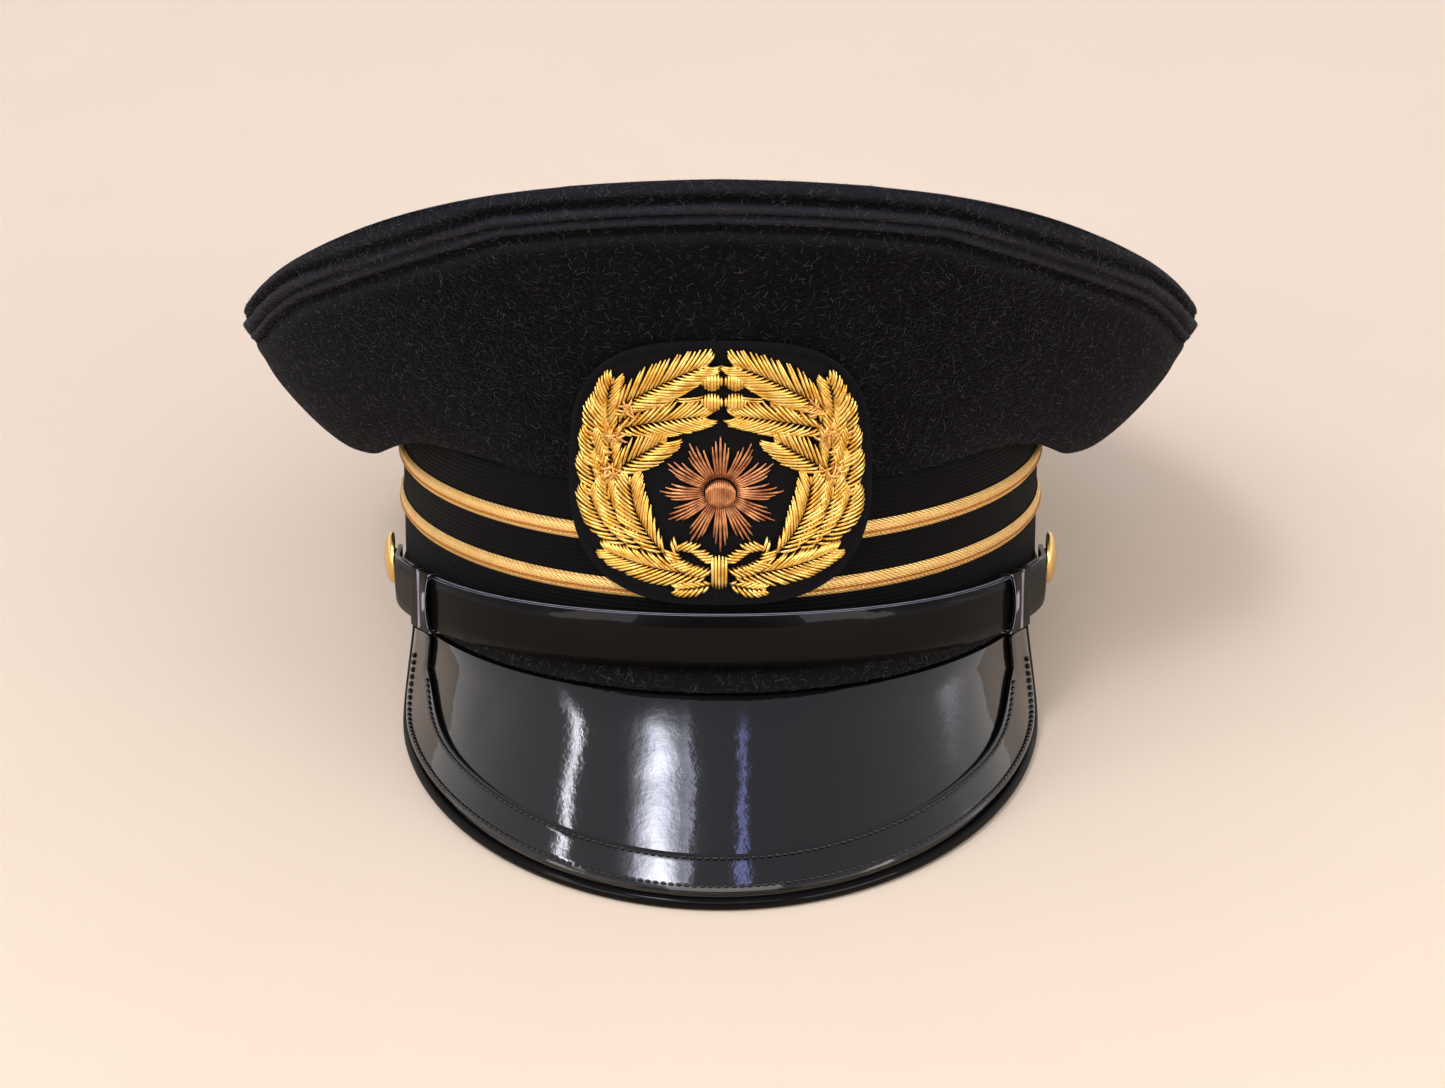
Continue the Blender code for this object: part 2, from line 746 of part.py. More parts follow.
def make_buttons(finishes, cap):
    radius = 0.5 * BUTTON_DIAMETER
    rim = 0.28 * BUTTON_THICKNESS
    outline = [(0.5 * BUTTON_SHANK, -BUTTON_FOOT), (0.5 * BUTTON_SHANK, 0), (0.94 * radius, 0),
               (radius, 0.5 * rim)]
    outline += dome_outline(radius, BUTTON_THICKNESS - rim, 5, rim)
    outline.append((BUTTON_CROWN, BUTTON_THICKNESS))
    for name, side in (("button_left", -1), ("button_right", 1)):
        button = turned_piece(name, outline, 16, finishes["gilt"], cap)
        angle = side * BUTTON_ANGLE
        seat = STRAP_TAB_LIFT + STRAP_THICKNESS + GAP + BUTTON_FOOT
        foot = on_band(angle, seat, BUTTON_HEIGHT)
        stand(button, foot, foot - on_band(angle, 0, BUTTON_HEIGHT))


# Badge


def front_depth(x, z):
    """Y of the cap's front face, band and crown run together in a soft bend."""
    seat = BAND_HEIGHT + GAP
    soft = seat + PATCH_BRIDGE * log(1 + exp((z - seat) / PATCH_BRIDGE))
    angle = degrees(asin(x / BAND_HALF_WIDTH))
    for _ in range(6):
        share = (soft - seat) / (rim_height(angle) - seat)
        half = (1 - share) * BAND_HALF_WIDTH + share * RIM_HALF_WIDTH
        angle = degrees(asin(x / half))
    along = cos(radians(angle))
    rim = RIM_SET_BACK - RIM_HALF_LENGTH * along
    return share * rim - (1 - share) * BAND_HALF_LENGTH * along


def on_front(x, z, lift):
    """A point of the badge: lifted off the cap's front where the flat drawing has x, z."""
    step = 0.0005
    slope_x = (front_depth(x + step, z) - front_depth(x - step, z)) / (2 * step)
    slope_z = (front_depth(x, z + step) - front_depth(x, z - step)) / (2 * step)
    outward = Vector((slope_x, -1, slope_z)).normalized()
    return Vector((x, front_depth(x, z), z)) + lift * outward


def patch_lift(z):
    """Back of the patch: clear of the braids below, close on the wool above."""
    over_braid = BRAID_THICKNESS + 2 * GAP
    settle = smoothstep((z - BAND_HEIGHT) / (0.4 * PATCH_HALF_HEIGHT))
    return over_braid + (2 * GAP - over_braid) * settle


def face_lift(z):
    """Lift of what is sewn on the patch."""
    return patch_lift(z) + PATCH_THICKNESS + GAP


def make_patch(finishes, cap):
    sides = 36
    power = 2.0 / PATCH_SQUARENESS
    fronts = []
    backs = []
    for share in PATCH_RINGS:
        front = []
        back = []
        for k in range(sides):
            spin = 2 * pi * (k + 0.5) / sides
            across = copysign(abs(sin(spin)) ** power, sin(spin))
            above = copysign(abs(cos(spin)) ** power, cos(spin))
            x = share * PATCH_HALF_WIDTH * across
            z = PATCH_CENTRE + share * PATCH_HALF_HEIGHT * above
            front.append(on_front(x, z, patch_lift(z) + PATCH_THICKNESS))
            back.append(on_front(x, z, patch_lift(z)))
        fronts.append(front)
        backs.append(back)
    lift = patch_lift(PATCH_CENTRE)
    bm = bmesh.new()
    rings = [[on_front(0, PATCH_CENTRE, lift + PATCH_THICKNESS)]]
    rings += fronts[::-1] + backs
    rings += [[on_front(0, PATCH_CENTRE, lift)]]
    turn(bm, rings)
    add_piece("badge_patch", bm, finishes["felt"], cap)


def make_wreath(name, side, finishes, cap):
    """One spray: leaf pairs one behind the other along half an oval."""
    stations = []
    for leaf in range(WREATH_LEAVES):
        for row in LEAF_STATIONS:
            along = (leaf + row.along) / WREATH_LEAVES
            stations.append((along, row.width, row.relief))
    stations.append((1.0, 0.25, 0.4))
    sections = []
    for along, width, relief in stations:
        angle = radians(WREATH_FOOT + (WREATH_TIP - WREATH_FOOT) * along)
        reach = 1 + WREATH_TIP_RISE * smoothstep((along - 0.72) / 0.28)
        across = abs(sin(angle)) ** (2.0 / WREATH_SQUARENESS)
        above = copysign(abs(cos(angle)) ** (2.0 / WREATH_SQUARENESS), -cos(angle))
        spot = Vector((WREATH_HALF_WIDTH * across, WREATH_HALF_HEIGHT * reach * above))
        outward = Vector((WREATH_HALF_HEIGHT * sin(angle), -WREATH_HALF_WIDTH * cos(angle)))
        outward.normalize()
        fuller = 0.35 + 0.65 * sin(pi * (0.12 + 0.86 * along)) ** 0.7
        half = 0.5 * WREATH_WIDTH * width * fuller
        section = []
        for row in SPRAY_OUTLINE:
            flat = spot + row.across * half * outward
            z = WREATH_CENTRE + flat.y
            lift = face_lift(z) + WREATH_RELIEF * relief * row.height
            section.append(on_front(side * max(flat.x, GAP), z, lift))
        sections.append(section)
    loft(name, sections, finishes["gold_bullion"], cap)


def make_bow(finishes, cap):
    rows = [row for row in BOW_STATIONS[::-1]] + [row for row in BOW_STATIONS[1:]]
    sections = []
    for k, row in enumerate(rows):
        side = -1 if k < len(BOW_STATIONS) - 1 else 1
        x = side * row.across * BOW_HALF_WIDTH
        low = BOW_CENTRE - row.below * BOW_HALF_HEIGHT
        high = BOW_CENTRE + row.above * BOW_HALF_HEIGHT
        back = face_lift(BOW_CENTRE) + WREATH_RELIEF + GAP
        section = [on_front(x, low, back), on_front(x, high, back),
                   on_front(x, high, back + BOW_THICKNESS),
                   on_front(x, low, back + BOW_THICKNESS)]
        sections.append(section)
    loft("wreath_bow", sections, finishes["gold_bullion"], cap)


def place_on_badge(piece, x, z, lift=0.0):
    foot = on_front(x, z, face_lift(z) + lift)
    stand(piece, foot, foot - on_front(x, z, 0))


def make_berries(finishes, cap):
    radius = 0.5 * BERRY_DIAMETER
    outline = [(0.6 * radius, 0), (0.92 * radius, 0.35 * radius)]
    outline += dome_outline(radius, 0.8 * radius, 3, 0.7 * radius)
    outline.append((0.25 * radius, 1.48 * radius))
    number = 0
    for row in (1, -1):
        for side in (-1, 1):
            number += 1
            berry = turned_piece(f"berry_{number}", outline, 10, finishes["gold_bullion"], cap)
            x = BERRY_OFFSET + side * BERRY_SPREAD
            place_on_badge(berry, x, BERRY_HEIGHT + 0.5 * row * BERRY_ROW)


def make_rosette(finishes, cap):
    """Pointed petals round a flat middle."""
    sides = 2 * ROSETTE_PETALS
    flat = [[(0, 0, 0)], [], [], [], [], []]
    for k in range(sides):
        spin = 2 * pi * k / sides
        petal = k % 2 == 0
        tip = ROSETTE_RADIUS if petal else 0.42 * ROSETTE_RADIUS
        ridge = 0.60 * ROSETTE_RADIUS if petal else 0.38 * ROSETTE_RADIUS
        top = ROSETTE_RELIEF if petal else 0.45 * ROSETTE_RELIEF
        rows = ((0.5 * tip, 0), (tip, 0), (0.99 * tip, 0.25 * ROSETTE_RELIEF), (ridge, top),
                (BOSS_RADIUS, ROSETTE_RELIEF))
        for ring, (radius, height) in zip(flat[1:], rows):
            ring.append((radius * sin(spin), radius * cos(spin), height))
    flat.append([(0, 0, ROSETTE_RELIEF)])
    rings = []
    for ring in flat:
        rings.append([on_front(x, ROSETTE_CENTRE + up, face_lift(ROSETTE_CENTRE + up) + height)
                      for x, up, height in ring])
    bm = bmesh.new()
    turn(bm, rings)
    add_piece("rosette", bm, finishes["copper_bullion"], cap)
    outline = [(0.9 * BOSS_RADIUS, 0)]
    outline += dome_outline(BOSS_RADIUS, 0.5 * BOSS_RADIUS, 3, 0.3 * BOSS_RADIUS)
    outline.append((0.25 * BOSS_RADIUS, 0.79 * BOSS_RADIUS))
    boss = turned_piece("rosette_boss", outline, 12, finishes["copper_bullion"], cap)
    place_on_badge(boss, 0, ROSETTE_CENTRE, ROSETTE_RELIEF + GAP)


# Rest


def rest_tilt(front_points, rear_points):
    """Angle that brings the peak's edge and the back of the band down to one level."""
    low, high = 0.0, radians(40)
    for _ in range(50):
        tilt = 0.5 * (low + high)
        front = min(p.z * cos(tilt) - p.y * sin(tilt) for p in front_points)
        rear = min(p.z * cos(tilt) - p.y * sin(tilt) for p in rear_points)
        if front < rear:
            low = tilt
        else:
            high = tilt
    return tilt


def lay_down(cap, binding, welt):
    """Tips the cap to its rest and centres it over the origin, standing on z = 0."""
    edge = [vertex.co.copy() for vertex in binding.data.vertices]
    foot = [vertex.co.copy() for vertex in welt.data.vertices]
    cap.rotation_euler = (-rest_tilt(edge, foot), 0, 0)
    bpy.context.view_layer.update()
    corners = []
    for piece in cap.children:
        corners += [piece.matrix_world @ vertex.co for vertex in piece.data.vertices]
    lows = [min(corner[axis] for corner in corners) for axis in range(3)]
    highs = [max(corner[axis] for corner in corners) for axis in range(3)]
    cap.location = (-0.5 * (lows[0] + highs[0]), -0.5 * (lows[1] + highs[1]), -lows[2])
    bpy.context.view_layer.update()


def main():
    clear_scene()
    finishes = {name: make_finish(name) for name in FINISHES}
    cap = bpy.data.objects.new("cap", None)
    bpy.context.collection.objects.link(cap)
    make_band(finishes, cap)
    welt = make_welt(finishes, cap)
    make_braids(finishes, cap)
    make_quarter("crown_quarter_left", -1, finishes, cap)
    make_quarter("crown_quarter_right", 1, finishes, cap)
    make_crown_top(finishes, cap)
    make_peak(finishes, cap)
    make_peak_border(finishes, cap)
    binding = make_peak_binding(finishes, cap)
    make_strap_inner(finishes, cap)
    make_strap_outer(finishes, cap)
    make_keepers(finishes, cap)
    make_buttons(finishes, cap)
    make_patch(finishes, cap)
    make_wreath("wreath_left", -1, finishes, cap)
    make_wreath("wreath_right", 1, finishes, cap)
    make_bow(finishes, cap)
    make_berries(finishes, cap)
    make_rosette(finishes, cap)
    lay_down(cap, binding, welt)


main()
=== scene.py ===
"""Peaked uniform cap as it is finished: wool crown, gold braids, patent leather, badge.

Lengths are metres and +Z is up. The cap lies tipped back on its peak and band. Places on
it are worked out in its own frame first: +Z up from the band's lower edge, peak to -Y.
"""
import json
import math
import random
from collections import namedtuple

import bpy
import numpy as np
from mathutils import Matrix, Vector
from mathutils.bvhtree import BVHTree


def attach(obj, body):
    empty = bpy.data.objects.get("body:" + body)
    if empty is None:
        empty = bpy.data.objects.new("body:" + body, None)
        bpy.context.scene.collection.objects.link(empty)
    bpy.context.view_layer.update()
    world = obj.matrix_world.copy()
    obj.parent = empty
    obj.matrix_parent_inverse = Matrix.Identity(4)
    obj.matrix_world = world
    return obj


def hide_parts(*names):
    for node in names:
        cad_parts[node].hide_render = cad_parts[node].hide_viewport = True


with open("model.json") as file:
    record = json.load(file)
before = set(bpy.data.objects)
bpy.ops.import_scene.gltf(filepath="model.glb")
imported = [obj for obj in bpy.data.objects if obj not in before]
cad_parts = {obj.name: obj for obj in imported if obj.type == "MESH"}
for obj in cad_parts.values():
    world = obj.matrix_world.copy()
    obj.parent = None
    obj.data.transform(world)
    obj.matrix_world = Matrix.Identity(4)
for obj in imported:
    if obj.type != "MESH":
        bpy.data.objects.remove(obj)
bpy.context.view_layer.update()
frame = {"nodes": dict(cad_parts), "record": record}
nodes = frame["nodes"]

MM = 0.001

# The cap's own frame, read from the mount at the head opening
opening = next(row for row in frame["record"]["mounts"] if row["name"] == "head_opening")
below = Vector(opening["axis"])
TILT = math.atan2(-below.y, -below.z)
CAP = Matrix.Translation(opening["pos_m"]) @ Matrix.Rotation(-TILT, 4, "X")
TO_CAP = CAP.inverted()


def cap_box(node):
    """Lowest and highest corners of a node in the cap's own frame."""
    points = np.array([TO_CAP @ vertex.co for vertex in nodes[node].data.vertices])
    return Vector(points.min(0)), Vector(points.max(0))


band_low, band_high = cap_box("band")
BAND_HALF_WIDTH = 0.5 * (band_high[0] - band_low[0])
BAND_HALF_LENGTH = 0.5 * (band_high[1] - band_low[1])


def on_band(angle, lift, height):
    """A point off the band's outer face, at an angle from the front."""
    spin = math.radians(angle)
    out = Vector((BAND_HALF_LENGTH * math.sin(spin), -BAND_HALF_WIDTH * math.cos(spin), 0))
    foot = Vector((BAND_HALF_WIDTH * math.sin(spin), -BAND_HALF_LENGTH * math.cos(spin), height))
    return CAP @ (foot + lift * out.normalized())


# Nodes and materials


def linear(colour):
    """An sRGB hex colour as linear red, green, blue and alpha."""
    values = [int(colour[k:k + 2], 16) / 255 for k in (1, 3, 5)]
    return [v / 12.92 if v <= 0.04045 else ((v + 0.055) / 1.055) ** 2.4 for v in values] + [1.0]


def add_node(tree, kind, settings=None, inputs=None):
    """Adds a node with its settings; an input is a value, or a socket to link from."""
    node = tree.nodes.new(kind)
    for key, value in (settings or {}).items():
        setattr(node, key, value)
    for key, value in (inputs or {}).items():
        if isinstance(value, bpy.types.NodeSocket):
            tree.links.new(value, node.inputs[key])
        else:
            node.inputs[key].default_value = value
    return node


# A wave texture of this scale repeats once in each unit of its coordinates
WAVE = 0.314


def new_material(name, **values):
    """A material with its shader's own values set, its node tree and its shader."""
    material = bpy.data.materials.new(name)
    material.use_nodes = True
    shader = material.node_tree.nodes["Principled BSDF"]
    for key, value in values.items():
        shader.inputs[key.replace("_", " ")].default_value = value
    return material, material.node_tree, shader


def fulled_wool():
    """Milled wool broadcloth: matt near-black nap, curly fibres that catch the light."""
    material, tree, shader = new_material(
        "fulled_wool", Roughness=0.95, Sheen_Weight=0.08, Sheen_Roughness=0.25,
        Sheen_Tint=linear("#8d8fa0"), Specular_IOR_Level=0.08)
    place = add_node(tree, "ShaderNodeTexCoord").outputs["Object"]
    curl = add_node(tree, "ShaderNodeTexNoise", inputs={
        "Vector": place, "Scale": 1 / (1.6 * MM), "Detail": 2.0})
    bent = add_node(tree, "ShaderNodeVectorMath", {"operation": "MULTIPLY_ADD"}, {
        0: curl.outputs["Color"], 1: (2.2 * MM,) * 3, 2: place})
    # Curls about 1.5 mm across, of fibres drawn wider than wool's 0.03 mm so that they show
    fibres = add_node(tree, "ShaderNodeTexVoronoi", {"feature": "DISTANCE_TO_EDGE"}, {
        "Vector": bent.outputs[0], "Scale": 1 / (1.5 * MM)})
    line = add_node(tree, "ShaderNodeMapRange", inputs={
        "Value": fibres.outputs["Distance"], "From Min": 0.0, "From Max": 0.09,
        "To Min": 1.0, "To Max": 0.0})
    patches = add_node(tree, "ShaderNodeTexNoise", inputs={
        "Vector": place, "Scale": 1 / (9 * MM), "Detail": 3.0})
    seen = add_node(tree, "ShaderNodeMapRange", inputs={
        "Value": patches.outputs["Fac"], "From Min": 0.42, "From Max": 0.72,
        "To Min": 0.0, "To Max": 0.5})
    share = add_node(tree, "ShaderNodeMath", {"operation": "MULTIPLY"}, {
        0: line.outputs[0], 1: seen.outputs[0]})
    ground = add_node(tree, "ShaderNodeMix", {"data_type": "RGBA"}, {
        0: patches.outputs["Fac"], 6: linear("#020202"), 7: linear("#060505")})
    flat = add_node(tree, "ShaderNodeMix", {"data_type": "RGBA"}, {
        0: share.outputs[0], 6: ground.outputs[2], 7: linear("#18181c")})
    # Painted highlight on the ridges beside the seams and painted shade in the grooves, both from
    # the fold attribute
    fold = add_node(tree, "ShaderNodeAttribute", {"attribute_name": "fold"})
    overlay = add_node(tree, "ShaderNodeMix", {"data_type": "RGBA"}, {
        0: fold.outputs["Fac"], 6: flat.outputs[2], 7: linear("#36363f")})
    depth = add_node(tree, "ShaderNodeMath", {"operation": "MULTIPLY"}, {
        0: fold.outputs["Fac"], 1: -2.0})
    colour = add_node(tree, "ShaderNodeMix", {"data_type": "RGBA"}, {
        0: depth.outputs[0], 6: overlay.outputs[2], 7: linear("#020202")})
    nap = add_node(tree, "ShaderNodeTexNoise", inputs={
        "Vector": place, "Scale": 1 / (0.55 * MM), "Detail": 4.0, "Roughness": 0.7})
    height = add_node(tree, "ShaderNodeMath", {"operation": "ADD"}, {
        0: nap.outputs["Fac"], 1: line.outputs[0]})
    bump = add_node(tree, "ShaderNodeBump", inputs={
        "Height": height.outputs[0], "Distance": 0.25 * MM, "Strength": 0.8})
    tree.links.new(colour.outputs[2], shader.inputs["Base Color"])
    tree.links.new(bump.outputs[0], shader.inputs["Normal"])
    return material


def pressed_felt():
    """Pressed felt of the badge's ground and the welt: flatter and closer than the wool."""
    material, tree, shader = new_material(
        "pressed_felt", Roughness=0.95, Sheen_Weight=0.05, Sheen_Roughness=0.5,
        Sheen_Tint=linear("#808088"), Specular_IOR_Level=0.1)
    place = add_node(tree, "ShaderNodeTexCoord").outputs["Object"]
    tufts = add_node(tree, "ShaderNodeTexNoise", inputs={
        "Vector": place, "Scale": 1 / (0.7 * MM), "Detail": 4.0, "Roughness": 0.75})
    colour = add_node(tree, "ShaderNodeMix", {"data_type": "RGBA"}, {
        0: tufts.outputs["Fac"], 6: linear("#050506"), 7: linear("#100f11")})
    bump = add_node(tree, "ShaderNodeBump", inputs={
        "Height": tufts.outputs["Fac"], "Distance": 0.25 * MM, "Strength": 0.9})
    tree.links.new(colour.outputs[2], shader.inputs["Base Color"])
    tree.links.new(bump.outputs[0], shader.inputs["Normal"])
    return material


def ribbed_cloth():
    """Corded mohair band: fine ribs run round the band, crossed by the weave's threads."""
    material, tree, shader = new_material(
        "ribbed_cloth", Roughness=0.8, Sheen_Weight=0.02, Sheen_Roughness=0.4,
        Specular_IOR_Level=0.06)
    uv = add_node(tree, "ShaderNodeUVMap", {"uv_map": "wrap"}).outputs[0]
    # Ribs 1.1 mm apart, a little coarser than the real ones so that they show
    ribs = add_node(tree, "ShaderNodeTexWave", {"bands_direction": "Y"}, {
        "Vector": uv, "Scale": WAVE / 1.1, "Distortion": 0.6, "Detail": 2.0,
        "Detail Scale": 3.0})
    threads = add_node(tree, "ShaderNodeTexWave", {"bands_direction": "X"}, {
        "Vector": uv, "Scale": WAVE / 0.5, "Distortion": 1.5, "Detail": 2.0})
    height = add_node(tree, "ShaderNodeMath", {"operation": "MULTIPLY_ADD"}, {
        0: threads.outputs["Fac"], 1: 0.3, 2: ribs.outputs["Fac"]})
    colour = add_node(tree, "ShaderNodeMix", {"data_type": "RGBA"}, {
        0: height.outputs[0], 6: linear("#030303"), 7: linear("#0a090a")})
    bump = add_node(tree, "ShaderNodeBump", inputs={
        "Height": height.outputs[0], "Distance": 0.2 * MM, "Strength": 0.8})
    tree.links.new(colour.outputs[2], shader.inputs["Base Color"])
    tree.links.new(bump.outputs[0], shader.inputs["Normal"])
    return material


def gold_braid():
    """Woven metallised braid: pale gold ridges of fine slanting threads, darker groove."""
    material, tree, shader = new_material("gold_braid", Metallic=0.55, Roughness=0.42)
    uv = add_node(tree, "ShaderNodeUVMap", {"uv_map": "wrap"}).outputs[0]
    turned = add_node(tree, "ShaderNodeMapping", inputs={
        "Vector": uv, "Rotation": (0, 0, math.radians(24))})
    # Threads about 0.2 mm apart, drawn at 0.6 mm so that they show
    threads = add_node(tree, "ShaderNodeTexWave", {"bands_direction": "Y"}, {
        "Vector": turned.outputs[0], "Scale": WAVE / 0.6, "Distortion": 1.2, "Detail": 2.0})
    worn = add_node(tree, "ShaderNodeTexNoise", inputs={
        "Vector": uv, "Scale": 0.35, "Detail": 4.0})
    gold = add_node(tree, "ShaderNodeMix", {"data_type": "RGBA"}, {
        0: worn.outputs["Fac"], 6: linear("#d09a46"), 7: linear("#eccb86")})
    # Painted shade: the groove's colour is darkened where the braid dips
    dip = add_node(tree, "ShaderNodeAttribute", {"attribute_name": "groove"})
    colour = add_node(tree, "ShaderNodeMix", {"data_type": "RGBA"}, {
        0: dip.outputs["Fac"], 6: gold.outputs[2], 7: linear("#a8621c")})
    bump = add_node(tree, "ShaderNodeBump", inputs={
        "Height": threads.outputs["Fac"], "Distance": 0.14 * MM, "Strength": 1.0})
    tree.links.new(colour.outputs[2], shader.inputs["Base Color"])
    tree.links.new(bump.outputs[0], shader.inputs["Normal"])
    return material


def bullion(name, light, dark, roughness):
    """Bullion, a fine wire coiled into a soft tube: satin metal, each length its own tone."""
    material, tree, shader = new_material(name, Metallic=0.85, Roughness=roughness)
    place = add_node(tree, "ShaderNodeTexCoord").outputs["Object"]
    tone = add_node(tree, "ShaderNodeTexNoise", inputs={
        "Vector": place, "Scale": 1 / (2.5 * MM), "Detail": 2.0})
    spread = add_node(tree, "ShaderNodeMapRange", inputs={
        "Value": tone.outputs["Fac"], "From Min": 0.3, "From Max": 0.7})
    colour = add_node(tree, "ShaderNodeMix", {"data_type": "RGBA"}, {
        0: spread.outputs[0], 6: linear(dark), 7: linear(light)})
    # The wire's turns are about 0.1 mm apart; drawn at 0.22 mm so that they show
    turns = add_node(tree, "ShaderNodeTexNoise", inputs={
        "Vector": place, "Scale": 1 / (0.22 * MM), "Detail": 1.0})
    bump = add_node(tree, "ShaderNodeBump", inputs={
        "Height": turns.outputs["Fac"], "Distance": 0.06 * MM, "Strength": 0.6})
    tree.links.new(colour.outputs[2], shader.inputs["Base Color"])
    tree.links.new(bump.outputs[0], shader.inputs["Normal"])
    return material


def gilt_brass():
    """Gilded brass, stamped and polished: warm gold with the faint dents of the die."""
    material, tree, shader = new_material(
        "gilt_brass", Metallic=1.0, Base_Color=linear("#e8c276"))
    place = add_node(tree, "ShaderNodeTexCoord").outputs["Object"]
    overlay = add_node(tree, "ShaderNodeTexNoise", inputs={
        "Vector": place, "Scale": 1 / (2 * MM), "Detail": 5.0})
    roughness = add_node(tree, "ShaderNodeMapRange", inputs={
        "Value": overlay.outputs["Fac"], "To Min": 0.14, "To Max": 0.34})
    bump = add_node(tree, "ShaderNodeBump", inputs={
        "Height": overlay.outputs["Fac"], "Distance": 0.08 * MM, "Strength": 0.5})
    tree.links.new(roughness.outputs[0], shader.inputs["Roughness"])
    tree.links.new(bump.outputs[0], shader.inputs["Normal"])
    return material


def patent_leather(name, coat, gloss, crease, wave):
    """Patent leather: black with a thick clear varnish, waves and fine pits below it."""
    material, tree, shader = new_material(
        name, Roughness=0.3, Coat_Weight=coat, Coat_Roughness=0.025,
        Specular_IOR_Level=gloss)
    place = add_node(tree, "ShaderNodeTexCoord").outputs["Object"]
    swell = add_node(tree, "ShaderNodeTexNoise", inputs={
        "Vector": place, "Scale": 1 / (20 * MM), "Detail": 1.0})
    wrinkles = add_node(tree, "ShaderNodeTexNoise", inputs={
        "Vector": place, "Scale": 1 / (2.6 * MM), "Detail": 3.0, "Roughness": 0.6})
    broad = add_node(tree, "ShaderNodeBump", inputs={
        "Height": swell.outputs["Fac"], "Distance": wave * MM, "Strength": 1.0})
    fine = add_node(tree, "ShaderNodeBump", inputs={
        "Height": wrinkles.outputs["Fac"], "Distance": crease * MM, "Strength": 1.0,
        "Normal": broad.outputs[0]})
    # Its rounded edges are painted pale where marked: a painted highlight, partly wear of the cut
    # edges
    overlay = add_node(tree, "ShaderNodeAttribute", {"attribute_name": "edge_highlight_and_wear"})
    colour = add_node(tree, "ShaderNodeMix", {"data_type": "RGBA"}, {
        0: overlay.outputs["Fac"], 6: linear("#090808"), 7: linear("#a8a6b6")})
    tree.links.new(colour.outputs[2], shader.inputs["Base Color"])
    for socket in ("Normal", "Coat Normal"):
        tree.links.new(fine.outputs[0], shader.inputs[socket])
    return material


def twisted_thread(name, colour, roughness, metallic=0.0):
    """Sewing thread, two plies twisted together: a slight gloss broken by the twist."""
    material, tree, shader = new_material(
        name, Base_Color=linear(colour), Roughness=roughness, Metallic=metallic)
    place = add_node(tree, "ShaderNodeTexCoord").outputs["Object"]
    twist = add_node(tree, "ShaderNodeTexNoise", inputs={
        "Vector": place, "Scale": 1 / (0.25 * MM), "Detail": 1.0})
    bump = add_node(tree, "ShaderNodeBump", inputs={
        "Height": twist.outputs["Fac"], "Distance": 0.06 * MM, "Strength": 0.6})
    tree.links.new(bump.outputs[0], shader.inputs["Normal"])
    return material


def wool_fibre():
    """Loose wool fibres that stand off the nap: grey where the light runs along them."""
    material, tree, shader = new_material(
        "wool_fibre", Roughness=0.6, Sheen_Weight=0.3, Specular_IOR_Level=0.4)
    place = add_node(tree, "ShaderNodeTexCoord").outputs["Object"]
    tone = add_node(tree, "ShaderNodeTexNoise", inputs={
        "Vector": place, "Scale": 1 / (3 * MM), "Detail": 1.0})
    spread = add_node(tree, "ShaderNodeMapRange", inputs={
        "Value": tone.outputs["Fac"], "From Min": 0.35, "From Max": 0.7})
    colour = add_node(tree, "ShaderNodeMix", {"data_type": "RGBA"}, {
        0: spread.outputs[0], 6: linear("#0a0a0c"), 7: linear("#42424b")})
    tree.links.new(colour.outputs[2], shader.inputs["Base Color"])
    return material


WOOL = fulled_wool()
FELT = pressed_felt()
RIBBED = ribbed_cloth()
BRAID = gold_braid()
GOLD = bullion("gold_bullion", "#f6d67e", "#d8a036", 0.3)
COPPER = bullion("copper_bullion", "#d89c6a", "#945838", 0.36)
RED_GOLD = bullion("red_gold_bullion", "#f0c47c", "#cc9044", 0.3)
GILT = gilt_brass()
PEAK_PATENT = patent_leather("patent_leather_peak", 1.0, 0.05, 0.035, 0.35)
STRAP_PATENT = patent_leather("patent_leather_strap", 0.15, 0.02, 0.015, 0.3)
BLACK_THREAD = twisted_thread("black_thread", "#040404", 0.3)
GOLD_THREAD = twisted_thread("gold_thread", "#c98a2c", 0.45, 0.4)
FIBRE = wool_fibre()


# Shaping


def select_only(piece):
    """Makes a piece the one selected and active object."""
    bpy.ops.object.select_all(action="DESELECT")
    piece.select_set(True)
    bpy.context.view_layer.objects.active = piece


def apply_modifier(piece, kind, **settings):
    """Adds a modifier with its settings and applies it to the mesh."""
    select_only(piece)
    modifier = piece.modifiers.new(kind, kind)
    for key, value in settings.items():
        setattr(modifier, key, value)
    bpy.ops.object.modifier_apply(modifier=modifier.name)


def finish(piece, material, slot, *replaced):
    """Gives a finished piece its material and the nodes it stands for, which are hidden. The slot
    is not used.
    """
    piece.data.materials.clear()
    piece.data.materials.append(material)
    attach(piece, "root")
    if replaced:
        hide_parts(*replaced)
    return piece


